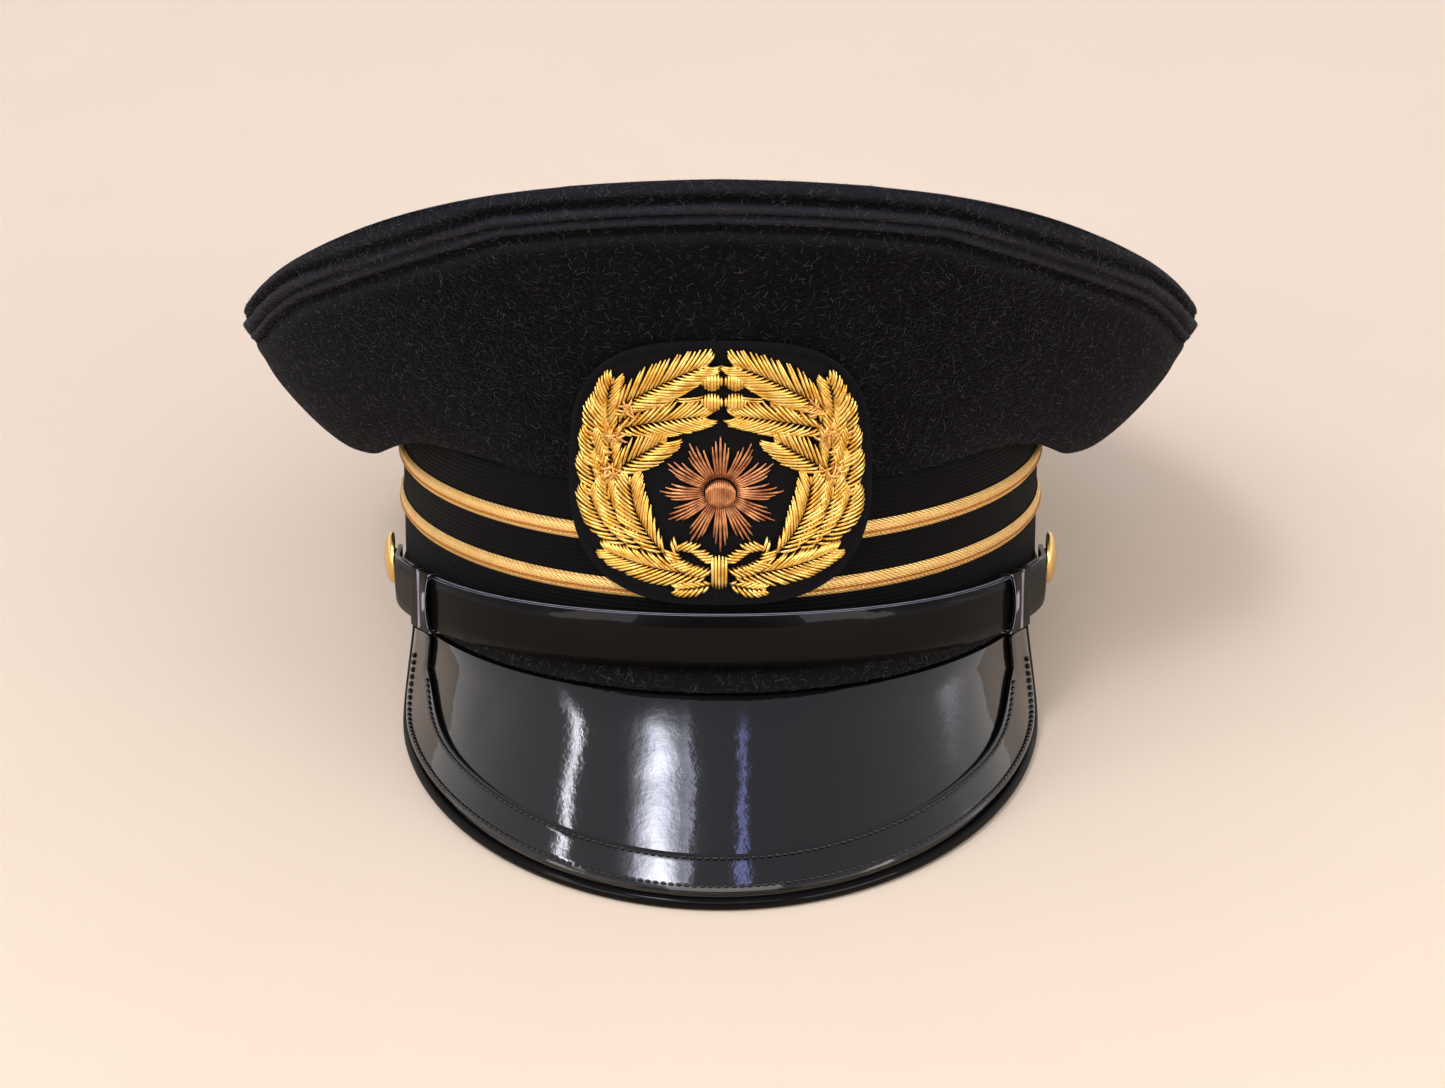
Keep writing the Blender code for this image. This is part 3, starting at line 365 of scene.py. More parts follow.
def smooth_copy(node, name, levels=2, sharp=50, crease=1.0, edge=0.0):
    """A node's shape merged to quads and subdivided; its sharp edges keep their crease
    and get a small round of the width edge."""
    piece = bpy.data.objects.new(name, nodes[node].data.copy())
    bpy.context.collection.objects.link(piece)
    select_only(piece)
    bpy.ops.mesh.customdata_custom_splitnormals_clear()
    while piece.data.uv_layers:
        piece.data.uv_layers.remove(piece.data.uv_layers[0])
    bpy.ops.object.mode_set(mode="EDIT")
    bpy.ops.mesh.select_mode(type="EDGE")
    bpy.ops.mesh.select_all(action="SELECT")
    bpy.ops.mesh.remove_doubles(threshold=0.02 * MM)
    bpy.ops.mesh.mark_sharp(clear=True)
    bpy.ops.mesh.tris_convert_to_quads(
        face_threshold=math.radians(30), shape_threshold=math.radians(80))
    bpy.ops.mesh.select_all(action="DESELECT")
    bpy.ops.mesh.edges_select_sharp(sharpness=math.radians(sharp))
    bpy.ops.transform.edge_crease(value=crease)
    bpy.ops.object.mode_set(mode="OBJECT")
    apply_modifier(piece, "SUBSURF", levels=levels, render_levels=levels)
    if edge:
        apply_modifier(piece, "BEVEL", width=edge, segments=2, limit_method="ANGLE",
                       angle_limit=math.radians(40))
    select_only(piece)
    bpy.ops.object.shade_smooth_by_angle(angle=math.radians(40))
    return piece


def wrap_uv(piece):
    """A UV map in millimetres: the way round the band from the front, and the height."""
    spins = np.linspace(-math.pi, 2 * math.pi, 1081)
    steps = np.hypot(np.diff(BAND_HALF_WIDTH * np.sin(spins)),
                     np.diff(BAND_HALF_LENGTH * np.cos(spins)))
    lengths = np.concatenate(([0.0], np.cumsum(steps)))
    layer = piece.data.uv_layers.new(name="wrap")
    places = [TO_CAP @ vertex.co for vertex in piece.data.vertices]
    for face in piece.data.polygons:
        turns = []
        for corner in face.vertices:
            spot = places[corner]
            turns.append(math.atan2(spot.x / BAND_HALF_WIDTH, -spot.y / BAND_HALF_LENGTH))
        if max(turns) - min(turns) > math.pi:
            turns = [turn + 2 * math.pi if turn < 0 else turn for turn in turns]
        for loop, corner, turn in zip(face.loop_indices, face.vertices, turns):
            along = float(np.interp(turn, spins, lengths))
            layer.data[loop].uv = (along / MM, places[corner].z / MM)


# Rays are cast inwards from this far out, well outside the cap
FAR = 200 * MM


def surface(*pieces):
    """The pieces' faces as a tree that rays can be cast on."""
    points = []
    faces = []
    for piece in pieces:
        first = len(points)
        points += [vertex.co.copy() for vertex in piece.data.vertices]
        faces += [[first + corner for corner in face.vertices] for face in piece.data.polygons]
    return BVHTree.FromPolygons(points, faces)


# A thread's width at its two ends, where it goes down into the cloth
THREAD_END = 0.5


def lay_threads(name, paths, diameter, sides=6):
    """Round threads along paths of points, joined as one mesh. Both ends are drawn in."""
    curve = bpy.data.curves.new(name, "CURVE")
    curve.dimensions = "3D"
    curve.bevel_depth = 0.5 * diameter
    curve.bevel_resolution = (sides - 4) // 2
    curve.use_fill_caps = True
    for path in paths:
        spline = curve.splines.new("POLY")
        spline.points.add(len(path) - 1)
        for k, (point, place) in enumerate(zip(spline.points, path)):
            point.co = (*place, 1.0)
            if k in (0, len(path) - 1):
                point.radius = THREAD_END
    piece = bpy.data.objects.new(name, curve)
    bpy.context.collection.objects.link(piece)
    select_only(piece)
    bpy.ops.object.convert(target="MESH")
    bpy.ops.object.shade_smooth()
    return piece


# Crown


# A quarter's top edge is its highest within this many degrees, to within this height
SEAM_WINDOW = 8
SEAM_MARGIN = 3 * MM


def seam_table():
    """The rim seam's height in the cap's frame at each angle, from the quarters' tops."""
    tops = {}
    for node in ("crown_quarter_left", "crown_quarter_right"):
        for vertex in nodes[node].data.vertices:
            spot = TO_CAP @ vertex.co
            angle = round(math.degrees(math.atan2(spot.x, -spot.y)))
            tops[angle] = max(tops.get(angle, 0.0), spot.z)
    kept = []
    for angle in sorted(tops):
        window = range(angle - SEAM_WINDOW, angle + SEAM_WINDOW + 1)
        if tops[angle] + SEAM_MARGIN > max(tops.get(near, 0.0) for near in window):
            kept.append(angle)
    heights = [tops[angle] for angle in kept]
    return [-180] + kept + [180], [heights[0]] + heights + [heights[-1]]


SEAM_ANGLES, SEAM_HEIGHTS = seam_table()

# Ridges and grooves beside the rim seam, where the cloth is turned in and stitched: how
# far above the seam, half width and height, in millimetres
Ridge = namedtuple("Ridge", "above half height")
RIM_RIDGES = (
    Ridge(6.4, 1.6, 0.45),
    Ridge(3.9, 0.8, -0.80),
    Ridge(1.8, 1.0, 0.75),
    Ridge(-1.2, 0.9, 0.65),
    Ridge(-2.9, 0.7, -0.75),
    Ridge(-5.0, 1.4, 0.25),
)
# How far from the seam the ridges reach, below and above it, in millimetres
RIM_REACH = (-8, 9)
# How strongly a millimetre of rise paints the cloth paler on the ridges, as painted highlight,
# and darker in the grooves, as painted shade
FOLD_SHADING = 0.6


def above_seam(point):
    """Height of a point over the rim seam at its angle."""
    spot = TO_CAP @ point
    return spot.z - float(np.interp(math.degrees(math.atan2(spot.x, -spot.y)),
                                    SEAM_ANGLES, SEAM_HEIGHTS))


def swell_rim(piece):
    """Raises the turned-in cloth in ridges and sinks the grooves of the topstitching."""
    moved = []
    fold = piece.data.attributes.new("fold", "FLOAT", "POINT")
    for vertex in piece.data.vertices:
        spot = TO_CAP @ vertex.co
        out = CAP.to_3x3() @ Vector((spot.x, spot.y, 0)).normalized()
        height = above_seam(vertex.co) / MM
        if vertex.normal.dot(out) > 0.1 and RIM_REACH[0] < height < RIM_REACH[1]:
            rise = sum(ridge.height * math.exp(-((height - ridge.above) / ridge.half) ** 2)
                       for ridge in RIM_RIDGES)
            # The fold attribute carries the painted highlight on the ridges and the painted shade
            # in the grooves
            fold.data[vertex.index].value = FOLD_SHADING * rise
            moved.append((vertex, rise * MM * vertex.normal))
    for vertex, shift in moved:
        vertex.co += shift


# The front and back seams: how deep they sink at this distance from the cap's middle, and
# how far each quarter laps over the middle line
SEAM_SINK = 0.3 * MM
SEAM_DISTANCE = 100 * MM
SEAM_LAP = 0.03 * MM


def close_seams(piece, side):
    """Draws the quarter's two seam edges in and over the middle line, where it is sewn."""
    for vertex in piece.data.vertices:
        if abs(vertex.co.x) < SEAM_SINK:
            vertex.co.y -= SEAM_SINK * (TO_CAP @ vertex.co).y / SEAM_DISTANCE
            vertex.co.x = -side * SEAM_LAP


crown_top = smooth_copy("crown_top", "crown_top_wool", crease=0.7)
swell_rim(crown_top)
finish(crown_top, WOOL, "wool", "crown_top")
quarters = []
for word, side in (("left", -1), ("right", 1)):
    node = "crown_quarter_" + word
    quarter = smooth_copy(node, node + "_wool")
    swell_rim(quarter)
    close_seams(quarter, side)
    quarters.append(finish(quarter, WOOL, "wool", node))
crown_surface = surface(crown_top, *quarters)


def on_crown(angle, above):
    """The crown's outer face at a height above the rim seam, and the way out there."""
    height = float(np.interp(angle, SEAM_ANGLES, SEAM_HEIGHTS)) + above
    spin = math.radians(angle)
    out = Vector((math.sin(spin), -math.cos(spin), 0))
    start = CAP @ (Vector((0, 0, height)) + FAR * out)
    way = CAP.to_3x3() @ out
    place, normal, _, _ = crown_surface.ray_cast(start, -way, FAR)
    if place is None:
        place, normal, _, _ = crown_surface.find_nearest(start - 90 * MM * way)
    return place, normal


TOPSTITCH = 2.5 * MM
TOPSTITCH_PITCH = 3.8 * MM
TOPSTITCH_THREAD = 0.5 * MM
RIM_RADIUS = 127 * MM
# A stitch's arch: shares of its length, and how far it lies off the cloth in millimetres
TOPSTITCH_ARCH = ((0.0, -0.3), (0.25, 0.12), (0.5, 0.2), (0.75, 0.12), (1.0, -0.3))


def topstitch(name, above):
    """A row of sunk stitches beside the rim seam, each drawn down at both ends."""
    count = round(2 * math.pi * RIM_RADIUS / TOPSTITCH_PITCH)
    paths = []
    for k in range(count):
        path = []
        for share, lift in TOPSTITCH_ARCH:
            angle = 360 * (k + share * TOPSTITCH / TOPSTITCH_PITCH) / count - 180
            place, normal = on_crown(angle, above)
            path.append(place + lift * MM * normal)
        paths.append(path)
    finish(lay_threads(name, paths, TOPSTITCH_THREAD), WOOL, "wool")


topstitch("rim_stitches_upper", 3.9 * MM)
topstitch("rim_stitches_lower", -2.6 * MM)


# Loose fibres are drawn wider than wool's 0.03 mm so that they show
FIBRE_LENGTH = 1.6 * MM
FIBRE_WIDTH = 0.05 * MM


def curly_fibre():
    """One fibre as a narrow strip, curled over the cloth."""
    bpy.ops.object.select_all(action="DESELECT")
    bpy.ops.mesh.primitive_plane_add(size=1)
    fibre = bpy.context.object
    fibre.scale = (FIBRE_LENGTH, FIBRE_WIDTH, 1)
    bpy.ops.object.transform_apply(location=False, rotation=False, scale=True)
    bpy.ops.object.mode_set(mode="EDIT")
    bpy.ops.mesh.select_mode(type="EDGE")
    bpy.ops.mesh.select_all(action="DESELECT")
    bpy.ops.object.mode_set(mode="OBJECT")
    # Its two long edges, to be cut across
    for edge in fibre.data.edges:
        ends = [fibre.data.vertices[corner].co for corner in edge.vertices]
        edge.select = abs(ends[0].x - ends[1].x) > MM
    bpy.ops.object.mode_set(mode="EDIT")
    bpy.ops.mesh.subdivide(number_cuts=2)
    bpy.ops.object.mode_set(mode="OBJECT")
    for vertex in fibre.data.vertices:
        along = vertex.co.x / MM
        vertex.co.y += 0.25 * math.sin(3 * along) * MM
        vertex.co.z += (0.1 + 0.12 * along - 0.1 * along * along) * MM
    return fibre


def nap(name, base, density, seed, centre):
    """Loose fibres strewn over a piece's outer faces, so many a square metre, as one mesh."""
    fuzz = bpy.data.objects.new(name, base.data.copy())
    bpy.context.collection.objects.link(fuzz)
    select_only(fuzz)
    bpy.ops.object.mode_set(mode="EDIT")
    bpy.ops.mesh.select_mode(type="FACE")
    bpy.ops.mesh.select_all(action="DESELECT")
    bpy.ops.object.mode_set(mode="OBJECT")
    middle = CAP @ Vector(centre)
    for face in fuzz.data.polygons:
        face.select = face.normal.dot(face.center - middle) <= 0
    bpy.ops.object.mode_set(mode="EDIT")
    bpy.ops.mesh.delete(type="FACE")
    bpy.ops.object.mode_set(mode="OBJECT")
    tree = bpy.data.node_groups.new(name, "GeometryNodeTree")
    tree.interface.new_socket("Geometry", in_out="INPUT", socket_type="NodeSocketGeometry")
    tree.interface.new_socket("Geometry", in_out="OUTPUT", socket_type="NodeSocketGeometry")
    start = add_node(tree, "NodeGroupInput")
    spots = add_node(tree, "GeometryNodeDistributePointsOnFaces", inputs={
        "Mesh": start.outputs[0], "Density": density, "Seed": seed})
    strip = add_node(tree, "GeometryNodeObjectInfo", inputs={"Object": LOOSE_FIBRE})
    size = add_node(tree, "FunctionNodeRandomValue", {"data_type": "FLOAT"}, {
        2: 0.5, 3: 1.4, "Seed": seed})
    placed = add_node(tree, "GeometryNodeInstanceOnPoints", inputs={
        "Points": spots.outputs["Points"], "Instance": strip.outputs["Geometry"],
        "Rotation": spots.outputs["Rotation"], "Scale": size.outputs[1]})
    spin = add_node(tree, "FunctionNodeRandomValue", {"data_type": "FLOAT_VECTOR"}, {
        0: (-0.3, -0.3, 0.0), 1: (0.3, 0.3, 2 * math.pi), "Seed": seed + 1})
    turned = add_node(tree, "GeometryNodeRotateInstances", inputs={
        "Instances": placed.outputs[0], "Rotation": spin.outputs[0]})
    whole = add_node(tree, "GeometryNodeRealizeInstances", inputs={
        "Geometry": turned.outputs[0]})
    add_node(tree, "NodeGroupOutput", inputs={"Geometry": whole.outputs[0]})
    apply_modifier(fuzz, "NODES", node_group=tree)
    select_only(fuzz)
    bpy.ops.object.shade_smooth()
    finish(fuzz, FIBRE, "wool")


LOOSE_FIBRE = curly_fibre()
CROWN_MIDDLE = (0, 0, 70 * MM)
WELT_MIDDLE = (0, 0, 3 * MM)
TOP_NAP = 450000
SIDE_NAP = 260000
WELT_NAP = 600000
nap("crown_top_nap", crown_top, TOP_NAP, 3, CROWN_MIDDLE)
nap("crown_quarter_left_nap", quarters[0], SIDE_NAP, 5, CROWN_MIDDLE)
nap("crown_quarter_right_nap", quarters[1], SIDE_NAP, 7, CROWN_MIDDLE)


# Band, braids and welt


band = smooth_copy("band", "band_cloth", edge=0.2 * MM)
wrap_uv(band)
finish(band, RIBBED, "ribbed_cloth", "band")
welt = finish(smooth_copy("band_welt", "band_welt_felt", sharp=80), FELT, "felt", "band_welt")
nap("band_welt_nap", welt, WELT_NAP, 9, WELT_MIDDLE)

# The braid's groove and broad ridge: middle and half width as shares of its height, then
# depth or rise in millimetres
Fold = namedtuple("Fold", "middle half height")
BRAID_GROOVE = Fold(0.30, 0.08, 0.28)
BRAID_RIDGE = Fold(0.62, 0.22, 0.22)
BRAID_STITCHES = 520
BRAID_THREAD = 0.3 * MM
# A stitch across the groove: shares of its way, then how far it lies off and above the
# groove in millimetres
BRAID_STITCH = ((0.0, -0.15, -0.2), (0.5, 0.15, 0.0), (1.0, -0.15, 0.2))


def bell(share, fold):
    """How much of a fold's height is left at a share of the braid's height."""
    return math.exp(-((share - fold.middle) / fold.half) ** 2)


def make_braid(node):
    """A braid with a broad upper ridge, a sewn-down groove and a narrow lower ridge."""
    low, high = cap_box(node)
    braid = smooth_copy(node, node + "_gold", levels=3, sharp=80)
    wrap_uv(braid)
    groove = braid.data.attributes.new("groove", "FLOAT", "POINT")
    for vertex in braid.data.vertices:
        share = ((TO_CAP @ vertex.co).z - low[2]) / (high[2] - low[2])
        dip = bell(share, BRAID_GROOVE)
        crest = bell(share, BRAID_RIDGE)
        groove.data[vertex.index].value = dip
        vertex.co += (BRAID_RIDGE.height * crest - BRAID_GROOVE.height * dip) * MM * vertex.normal
    finish(braid, BRAID, "gold_braid", node)
    height = low[2] + BRAID_GROOVE.middle * (high[2] - low[2])
    stands_off = -float(low[1]) - BAND_HALF_LENGTH
    lift = stands_off - 0.25 * MM
    paths = []
    for k in range(BRAID_STITCHES):
        path = []
        for share, rise, up in BRAID_STITCH:
            angle = 360 * (k + 0.75 * share) / BRAID_STITCHES
            path.append(on_band(angle, lift + rise * MM, height + up * MM))
        paths.append(path)
    finish(lay_threads(node + "_stitches", paths, BRAID_THREAD, 4), GOLD_THREAD, "gold_braid")


for node in ("braid_lower", "braid_upper"):
    make_braid(node)


# Peak


finish(smooth_copy("peak", "peak_patent", edge=0.3 * MM), PEAK_PATENT, "patent_leather",
       "peak")
border = finish(smooth_copy("peak_border", "peak_border_patent", edge=0.25 * MM), PEAK_PATENT,
                "patent_leather", "peak_border")
finish(smooth_copy("peak_binding", "peak_binding_patent", sharp=80), STRAP_PATENT,
       "patent_leather", "peak_binding")


# Points in the shortest line that runs the length of the border
LONG_LINE = 20


def sharp_lines(node):
    """The long sharp edges of a node as lines of points, the lowest first."""
    piece = smooth_copy(node, "guide", levels=1)
    mesh = piece.data
    beside = {edge.key: [] for edge in mesh.edges}
    for face in mesh.polygons:
        for key in face.edge_keys:
            beside[key].append(face.normal)
    linked = {}
    for key, normals in beside.items():
        if normals[0].angle(normals[1]) > math.radians(45):
            linked.setdefault(key[0], []).append(key[1])
            linked.setdefault(key[1], []).append(key[0])
    lines = []
    used = set()
    # Three sharp edges meet at each corner, and a line runs from corner to corner
    corners = [spot for spot in sorted(linked) if len(linked[spot]) == 3]
    for start in corners:
        for step in linked[start]:
            path = [start, step]
            while len(linked[path[-1]]) == 2:
                path.append(next(spot for spot in linked[path[-1]] if spot != path[-2]))
            key = (min(path[0], path[-1]), max(path[0], path[-1]), path[len(path) // 2])
            if key not in used and len(path) > LONG_LINE:
                used.update((key, (key[0], key[1], path[-1 - len(path) // 2])))
                lines.append([mesh.vertices[spot].co.copy() for spot in path])
    bpy.data.objects.remove(piece)
    lines.sort(key=lambda line: sum(point.z for point in line) / len(line))
    return [line if line[0].x < line[-1].x else line[::-1] for line in lines]


def along_line(line, places):
    """Points of a line at places given as lengths from its start."""
    points = np.array(line)
    lengths = np.concatenate(([0.0], np.cumsum(np.linalg.norm(np.diff(points, axis=0), axis=1))))
    columns = [np.interp(places, lengths, points[:, axis]) for axis in range(3)]
    return [Vector(point) for point in zip(*columns)]


def line_length(line):
    """A line's length from its first point to its last."""
    return sum((after - before).length for before, after in zip(line, line[1:]))


BORDER_STITCH = 1.45 * MM
BORDER_PITCH = 1.85 * MM
BORDER_THREAD = 0.8 * MM
BORDER_MARGIN = 5 * MM
# A stitch's arch: shares of its length, and how far it lies off the leather in millimetres
BORDER_ARCH = ((0.0, -0.3), (0.3, 0.35), (0.7, 0.35), (1.0, -0.3))
ROW_POINTS = 400


def border_row(name, share):
    """A row of machine stitches along the border, at a share of its width."""
    lines = sharp_lines("peak_border")
    outer = along_line(lines[1], np.linspace(0, line_length(lines[1]), ROW_POINTS))
    inner = along_line(lines[-1], np.linspace(0, line_length(lines[-1]), ROW_POINTS))
    row = [near.lerp(far, share) for near, far in zip(inner, outer)]
    border_surface = surface(border)
    paths = []
    for k in range(int((line_length(row) - 2 * BORDER_MARGIN) / BORDER_PITCH)):
        start = BORDER_MARGIN + k * BORDER_PITCH
        spots = along_line(row, [start + part * BORDER_STITCH for part, _ in BORDER_ARCH])
        path = []
        for spot, (_, lift) in zip(spots, BORDER_ARCH):
            place, normal, _, _ = border_surface.find_nearest(spot)
            path.append(place + lift * MM * normal)
        paths.append(path)
    finish(lay_threads(name, paths, BORDER_THREAD), BLACK_THREAD, "patent_leather")


border_row("border_stitches_inner", 0.12)
border_row("border_stitches_outer", 0.86)


# Chin strap


# Rounded edges lean this far, as the cosine from the way they face
EDGE_LEAN = (0.35, 0.93)
# How far the strap's middle stands out
STRAP_SWELL = 0.3 * MM


def mark_edge_highlight_and_wear(piece, along):
    """Marks rounded edges to be painted pale, a painted highlight that is partly wear: the upper
    ones, or those that face along the band.
    """
    overlay = piece.data.attributes.new("edge_highlight_and_wear", "FLOAT", "POINT")
    turn = TO_CAP.to_3x3()
    for vertex in piece.data.vertices:
        spot = TO_CAP @ vertex.co
        way = Vector((-spot.y, spot.x, 0)).normalized() if along else Vector((0, 0, 1))
        lean = (turn @ vertex.normal).dot(way)
        if along:
            lean = abs(lean)
        overlay.data[vertex.index].value = EDGE_LEAN[0] < lean < EDGE_LEAN[1]


def swell_strap(piece, node):
    """Rounds the strap's outer face a little, as the folded leather is."""
    low, high = cap_box(node)
    turn = TO_CAP.to_3x3()
    for vertex in piece.data.vertices:
        spot = TO_CAP @ vertex.co
        normal = turn @ vertex.normal
        if normal.dot(Vector((spot.x, spot.y, 0)).normalized()) > 0.5:
            share = 2 * (spot.z - low.z) / (high.z - low.z) - 1
            vertex.co += STRAP_SWELL * (1 - share * share) * vertex.normal


for node in ("chin_strap_inner", "chin_strap_outer"):
    strap = smooth_copy(node, node + "_patent", edge=0.22 * MM)
    mark_edge_highlight_and_wear(strap, along=False)
    swell_strap(strap, node)
    finish(strap, STRAP_PATENT, "patent_leather", node)
for node in ("keeper_left_front", "keeper_left_rear", "keeper_right_front",
             "keeper_right_rear"):
    keeper = smooth_copy(node, node + "_patent", edge=0.4 * MM)
    mark_edge_highlight_and_wear(keeper, along=True)
    finish(keeper, STRAP_PATENT, "patent_leather", node)


# Buttons


for node in ("button_left", "button_right"):
    finish(smooth_copy(node, node + "_gilt", levels=3, sharp=60), GILT, "gilt", node)


# Badge


patch = finish(smooth_copy("badge_patch", "badge_patch_felt", sharp=60, edge=0.2 * MM), FELT,
               "felt", "badge_patch")
patch_surface = surface(patch)
PATCH_LOW, PATCH_HIGH = cap_box("badge_patch")


def on_patch(x, z, lift=0.0):
    """The patch's face at a place of the badge's flat drawing, all in millimetres."""
    start = CAP @ Vector((x * MM, -FAR, z * MM))
    way = CAP.to_3x3() @ Vector((0, 1, 0))
    place, normal, _, _ = patch_surface.ray_cast(start, way, 1.5 * FAR)
    if place is None:
        edge = Vector((x * MM, 0.5 * (PATCH_LOW.y + PATCH_HIGH.y), z * MM))
        place, normal, _, _ = patch_surface.find_nearest(CAP @ edge)
    return place + lift * MM * normal


# Leaves of the left spray as drawn flat, in millimetres: foot, middle and tip of the vein,
# half width, and the height of the padding below
Leaf = namedtuple("Leaf", "foot middle tip half padding")
LEAVES = (
    Leaf((-23.6, 53.0), (-25.6, 60.0), (-24.4, 67.4), 3.2, 0.0),
    Leaf((-24.5, 60.0), (-28.0, 66.5), (-28.0, 73.8), 3.2, 0.0),
    Leaf((-25.2, 46.6), (-29.4, 53.0), (-30.6, 59.6), 3.2, 0.0),
    Leaf((-23.5, 68.0), (-18.4, 71.4), (-12.6, 72.4), 2.6, 0.0),
    Leaf((-2.4, 28.2), (-6.7, 27.2), (-10.6, 26.9), 1.9, 0.0),
    Leaf((-3.0, 30.4), (-16.8, 32.1), (-27.6, 35.6), 3.7, 0.1),
    Leaf((-22.3, 37.3), (-28.4, 43.4), (-30.6, 50.6), 3.5, 0.2),
    Leaf((-18.2, 36.6), (-24.4, 44.9), (-26.4, 54.0), 3.5, 0.5),
    Leaf((-13.4, 35.9), (-19.2, 44.6), (-20.9, 54.8), 4.5, 0.8),
    Leaf((-26.4, 54.4), (-29.0, 59.8), (-30.0, 65.8), 3.1, 0.3),
    Leaf((-25.8, 64.0), (-26.2, 72.0), (-24.4, 80.0), 3.4, 0.4),
    Leaf((-25.2, 55.4), (-18.4, 60.4), (-12.4, 64.8), 4.3, 0.7),
    Leaf((-23.6, 66.9), (-12.6, 69.6), (-3.0, 71.2), 4.3, 0.7),
    Leaf((-24.6, 71.6), (-14.2, 78.6), (-2.6, 84.6), 5.0, 0.9),
)
# The rest of the badge's flat measures are in millimetres too
STRAND = 0.72
STRAND_PITCH = 1.28
STRAND_SLANT = math.radians(37)
STRAND_ARCH = 0.75
# How far a strand's ends are drawn down into the felt
SEWN_DOWN = 0.25
STITCH_RANDOM = random.Random(21)


def bend(foot, middle, tip, share):
    """A point and the way ahead on a curve through three flat points."""
    near = (1 - share) * (1 - 2 * share)
    between = 4 * share * (1 - share)
    far = share * (2 * share - 1)
    slopes = (4 * share - 3, 4 - 8 * share, 4 * share - 1)
    spot = near * Vector(foot) + between * Vector(middle) + far * Vector(tip)
    ahead = slopes[0] * Vector(foot) + slopes[1] * Vector(middle) + slopes[2] * Vector(tip)
    return spot, ahead


def strand(start, end, padding, arch, side):
    """One length of bullion over its padding, sewn down at both ends."""
    path = []
    for share in (0.0, 0.18, 0.5, 0.82, 1.0):
        spot = start.lerp(end, share)
        rise = 0.1 + padding * (1 - 0.35 * share) + arch * math.sin(math.pi * share) ** 0.7
        if share in (0.0, 1.0):
            rise -= SEWN_DOWN
        path.append(on_patch(side * spot.x, spot.y, rise))
    return path


def leaf_strands(leaf, side):
    """Strands that run slanting forward from the vein to the leaf's edges."""
    length = (Vector(leaf.middle) - Vector(leaf.foot)).length
    length += (Vector(leaf.tip) - Vector(leaf.middle)).length
    count = round(length / STRAND_PITCH)
    paths = []
    for k in range(count):
        for turn in (-1, 1):
            share = (k + 0.25 + 0.25 * turn) / count
            spot, ahead = bend(leaf.foot, leaf.middle, leaf.tip, share)
            ahead.normalize()
            across = Vector((-ahead.y, ahead.x))
            slant = STRAND_SLANT * (1 - 0.3 * share) * STITCH_RANDOM.uniform(0.93, 1.07)
            width = leaf.half * math.sqrt(1 - share ** 2) * min(1, 0.5 + 2.5 * share)
            run = (width + 0.2) / math.sin(slant) * STITCH_RANDOM.uniform(0.95, 1.03)
            way = math.cos(slant) * ahead + turn * math.sin(slant) * across
            start = spot + 0.12 * turn * across - 0.3 * ahead
            paths.append(strand(start, start + run * way, leaf.padding, STRAND_ARCH, side))
    spot, ahead = bend(leaf.foot, leaf.middle, leaf.tip, 0.9)
    paths.append(strand(spot, Vector(leaf.tip), leaf.padding, 0.5, side))
    return paths


def make_spray(node, side):
    """One spray of the wreath, its later leaves over the earlier ones."""
    paths = []
    for leaf in LEAVES:
        paths += leaf_strands(leaf, side)
    finish(lay_threads(node + "_bullion", paths, STRAND * MM), GOLD, "gold_bullion", node)


make_spray("wreath_left", 1)
make_spray("wreath_right", -1)


# The bow's loop as drawn flat on the left, and the half length of the strands across it
BOW_LOOP = ((-2.0, 34.2), (-6.2, 37.4), (-10.3, 38.2), (-11.4, 36.2), (-10.1, 33.6),
            (-6.6, 31.9), (-2.2, 31.0))
BOW_REACH = 1.9
BOW_PITCH = 1.0
# The knot's upright strands: height and spacing at the top and at the foot, and the
# middle one's place across
KNOT_TOP = 35.9
KNOT_FOOT = 27.4
KNOT_TOP_PITCH = 0.8
KNOT_FOOT_PITCH = 0.74
KNOT_MIDDLE = -0.3


def make_bow():
    """Two loops of slanting strands and a knot of upright ones over them."""
    paths = []
    points = [Vector(point) for point in BOW_LOOP]
    for side in (1, -1):
        for first, second in zip(points, points[1:]):
            count = round((second - first).length / BOW_PITCH)
            way = (second - first).normalized()
            across = Vector((-way.y, way.x))
            for k in range(count):
                spot = first.lerp(second, k / count)
                slant = 0.72 * way + 0.7 * across
                reach = BOW_REACH * slant
                paths.append(strand(spot - reach, spot + reach, 1.2, 0.6, side))
    for k in range(-2, 3):
        top = Vector((KNOT_TOP_PITCH * k + KNOT_MIDDLE, KNOT_TOP - 0.2 * abs(k)))
        foot = Vector((KNOT_FOOT_PITCH * k + KNOT_MIDDLE, KNOT_FOOT + 0.25 * abs(k)))
        paths.append(strand(top, foot, 1.9, 0.7, 1))
    finish(lay_threads("wreath_bow_bullion", paths, STRAND * MM), GOLD, "gold_bullion",
           "wreath_bow")


make_bow()

BERRY_RADIUS = 2.4
BERRY_STRAND = 0.82
BERRY_PITCH = 0.72
# A berry's two stems from foot to tip, each of two thin strands
STEMS = (((-10.6, 75.6), (-3.9, 80.2)), ((-10.0, 74.9), (-4.0, 75.5)))
STEM_STRAND = 0.5
STEM_SPREAD = 0.32


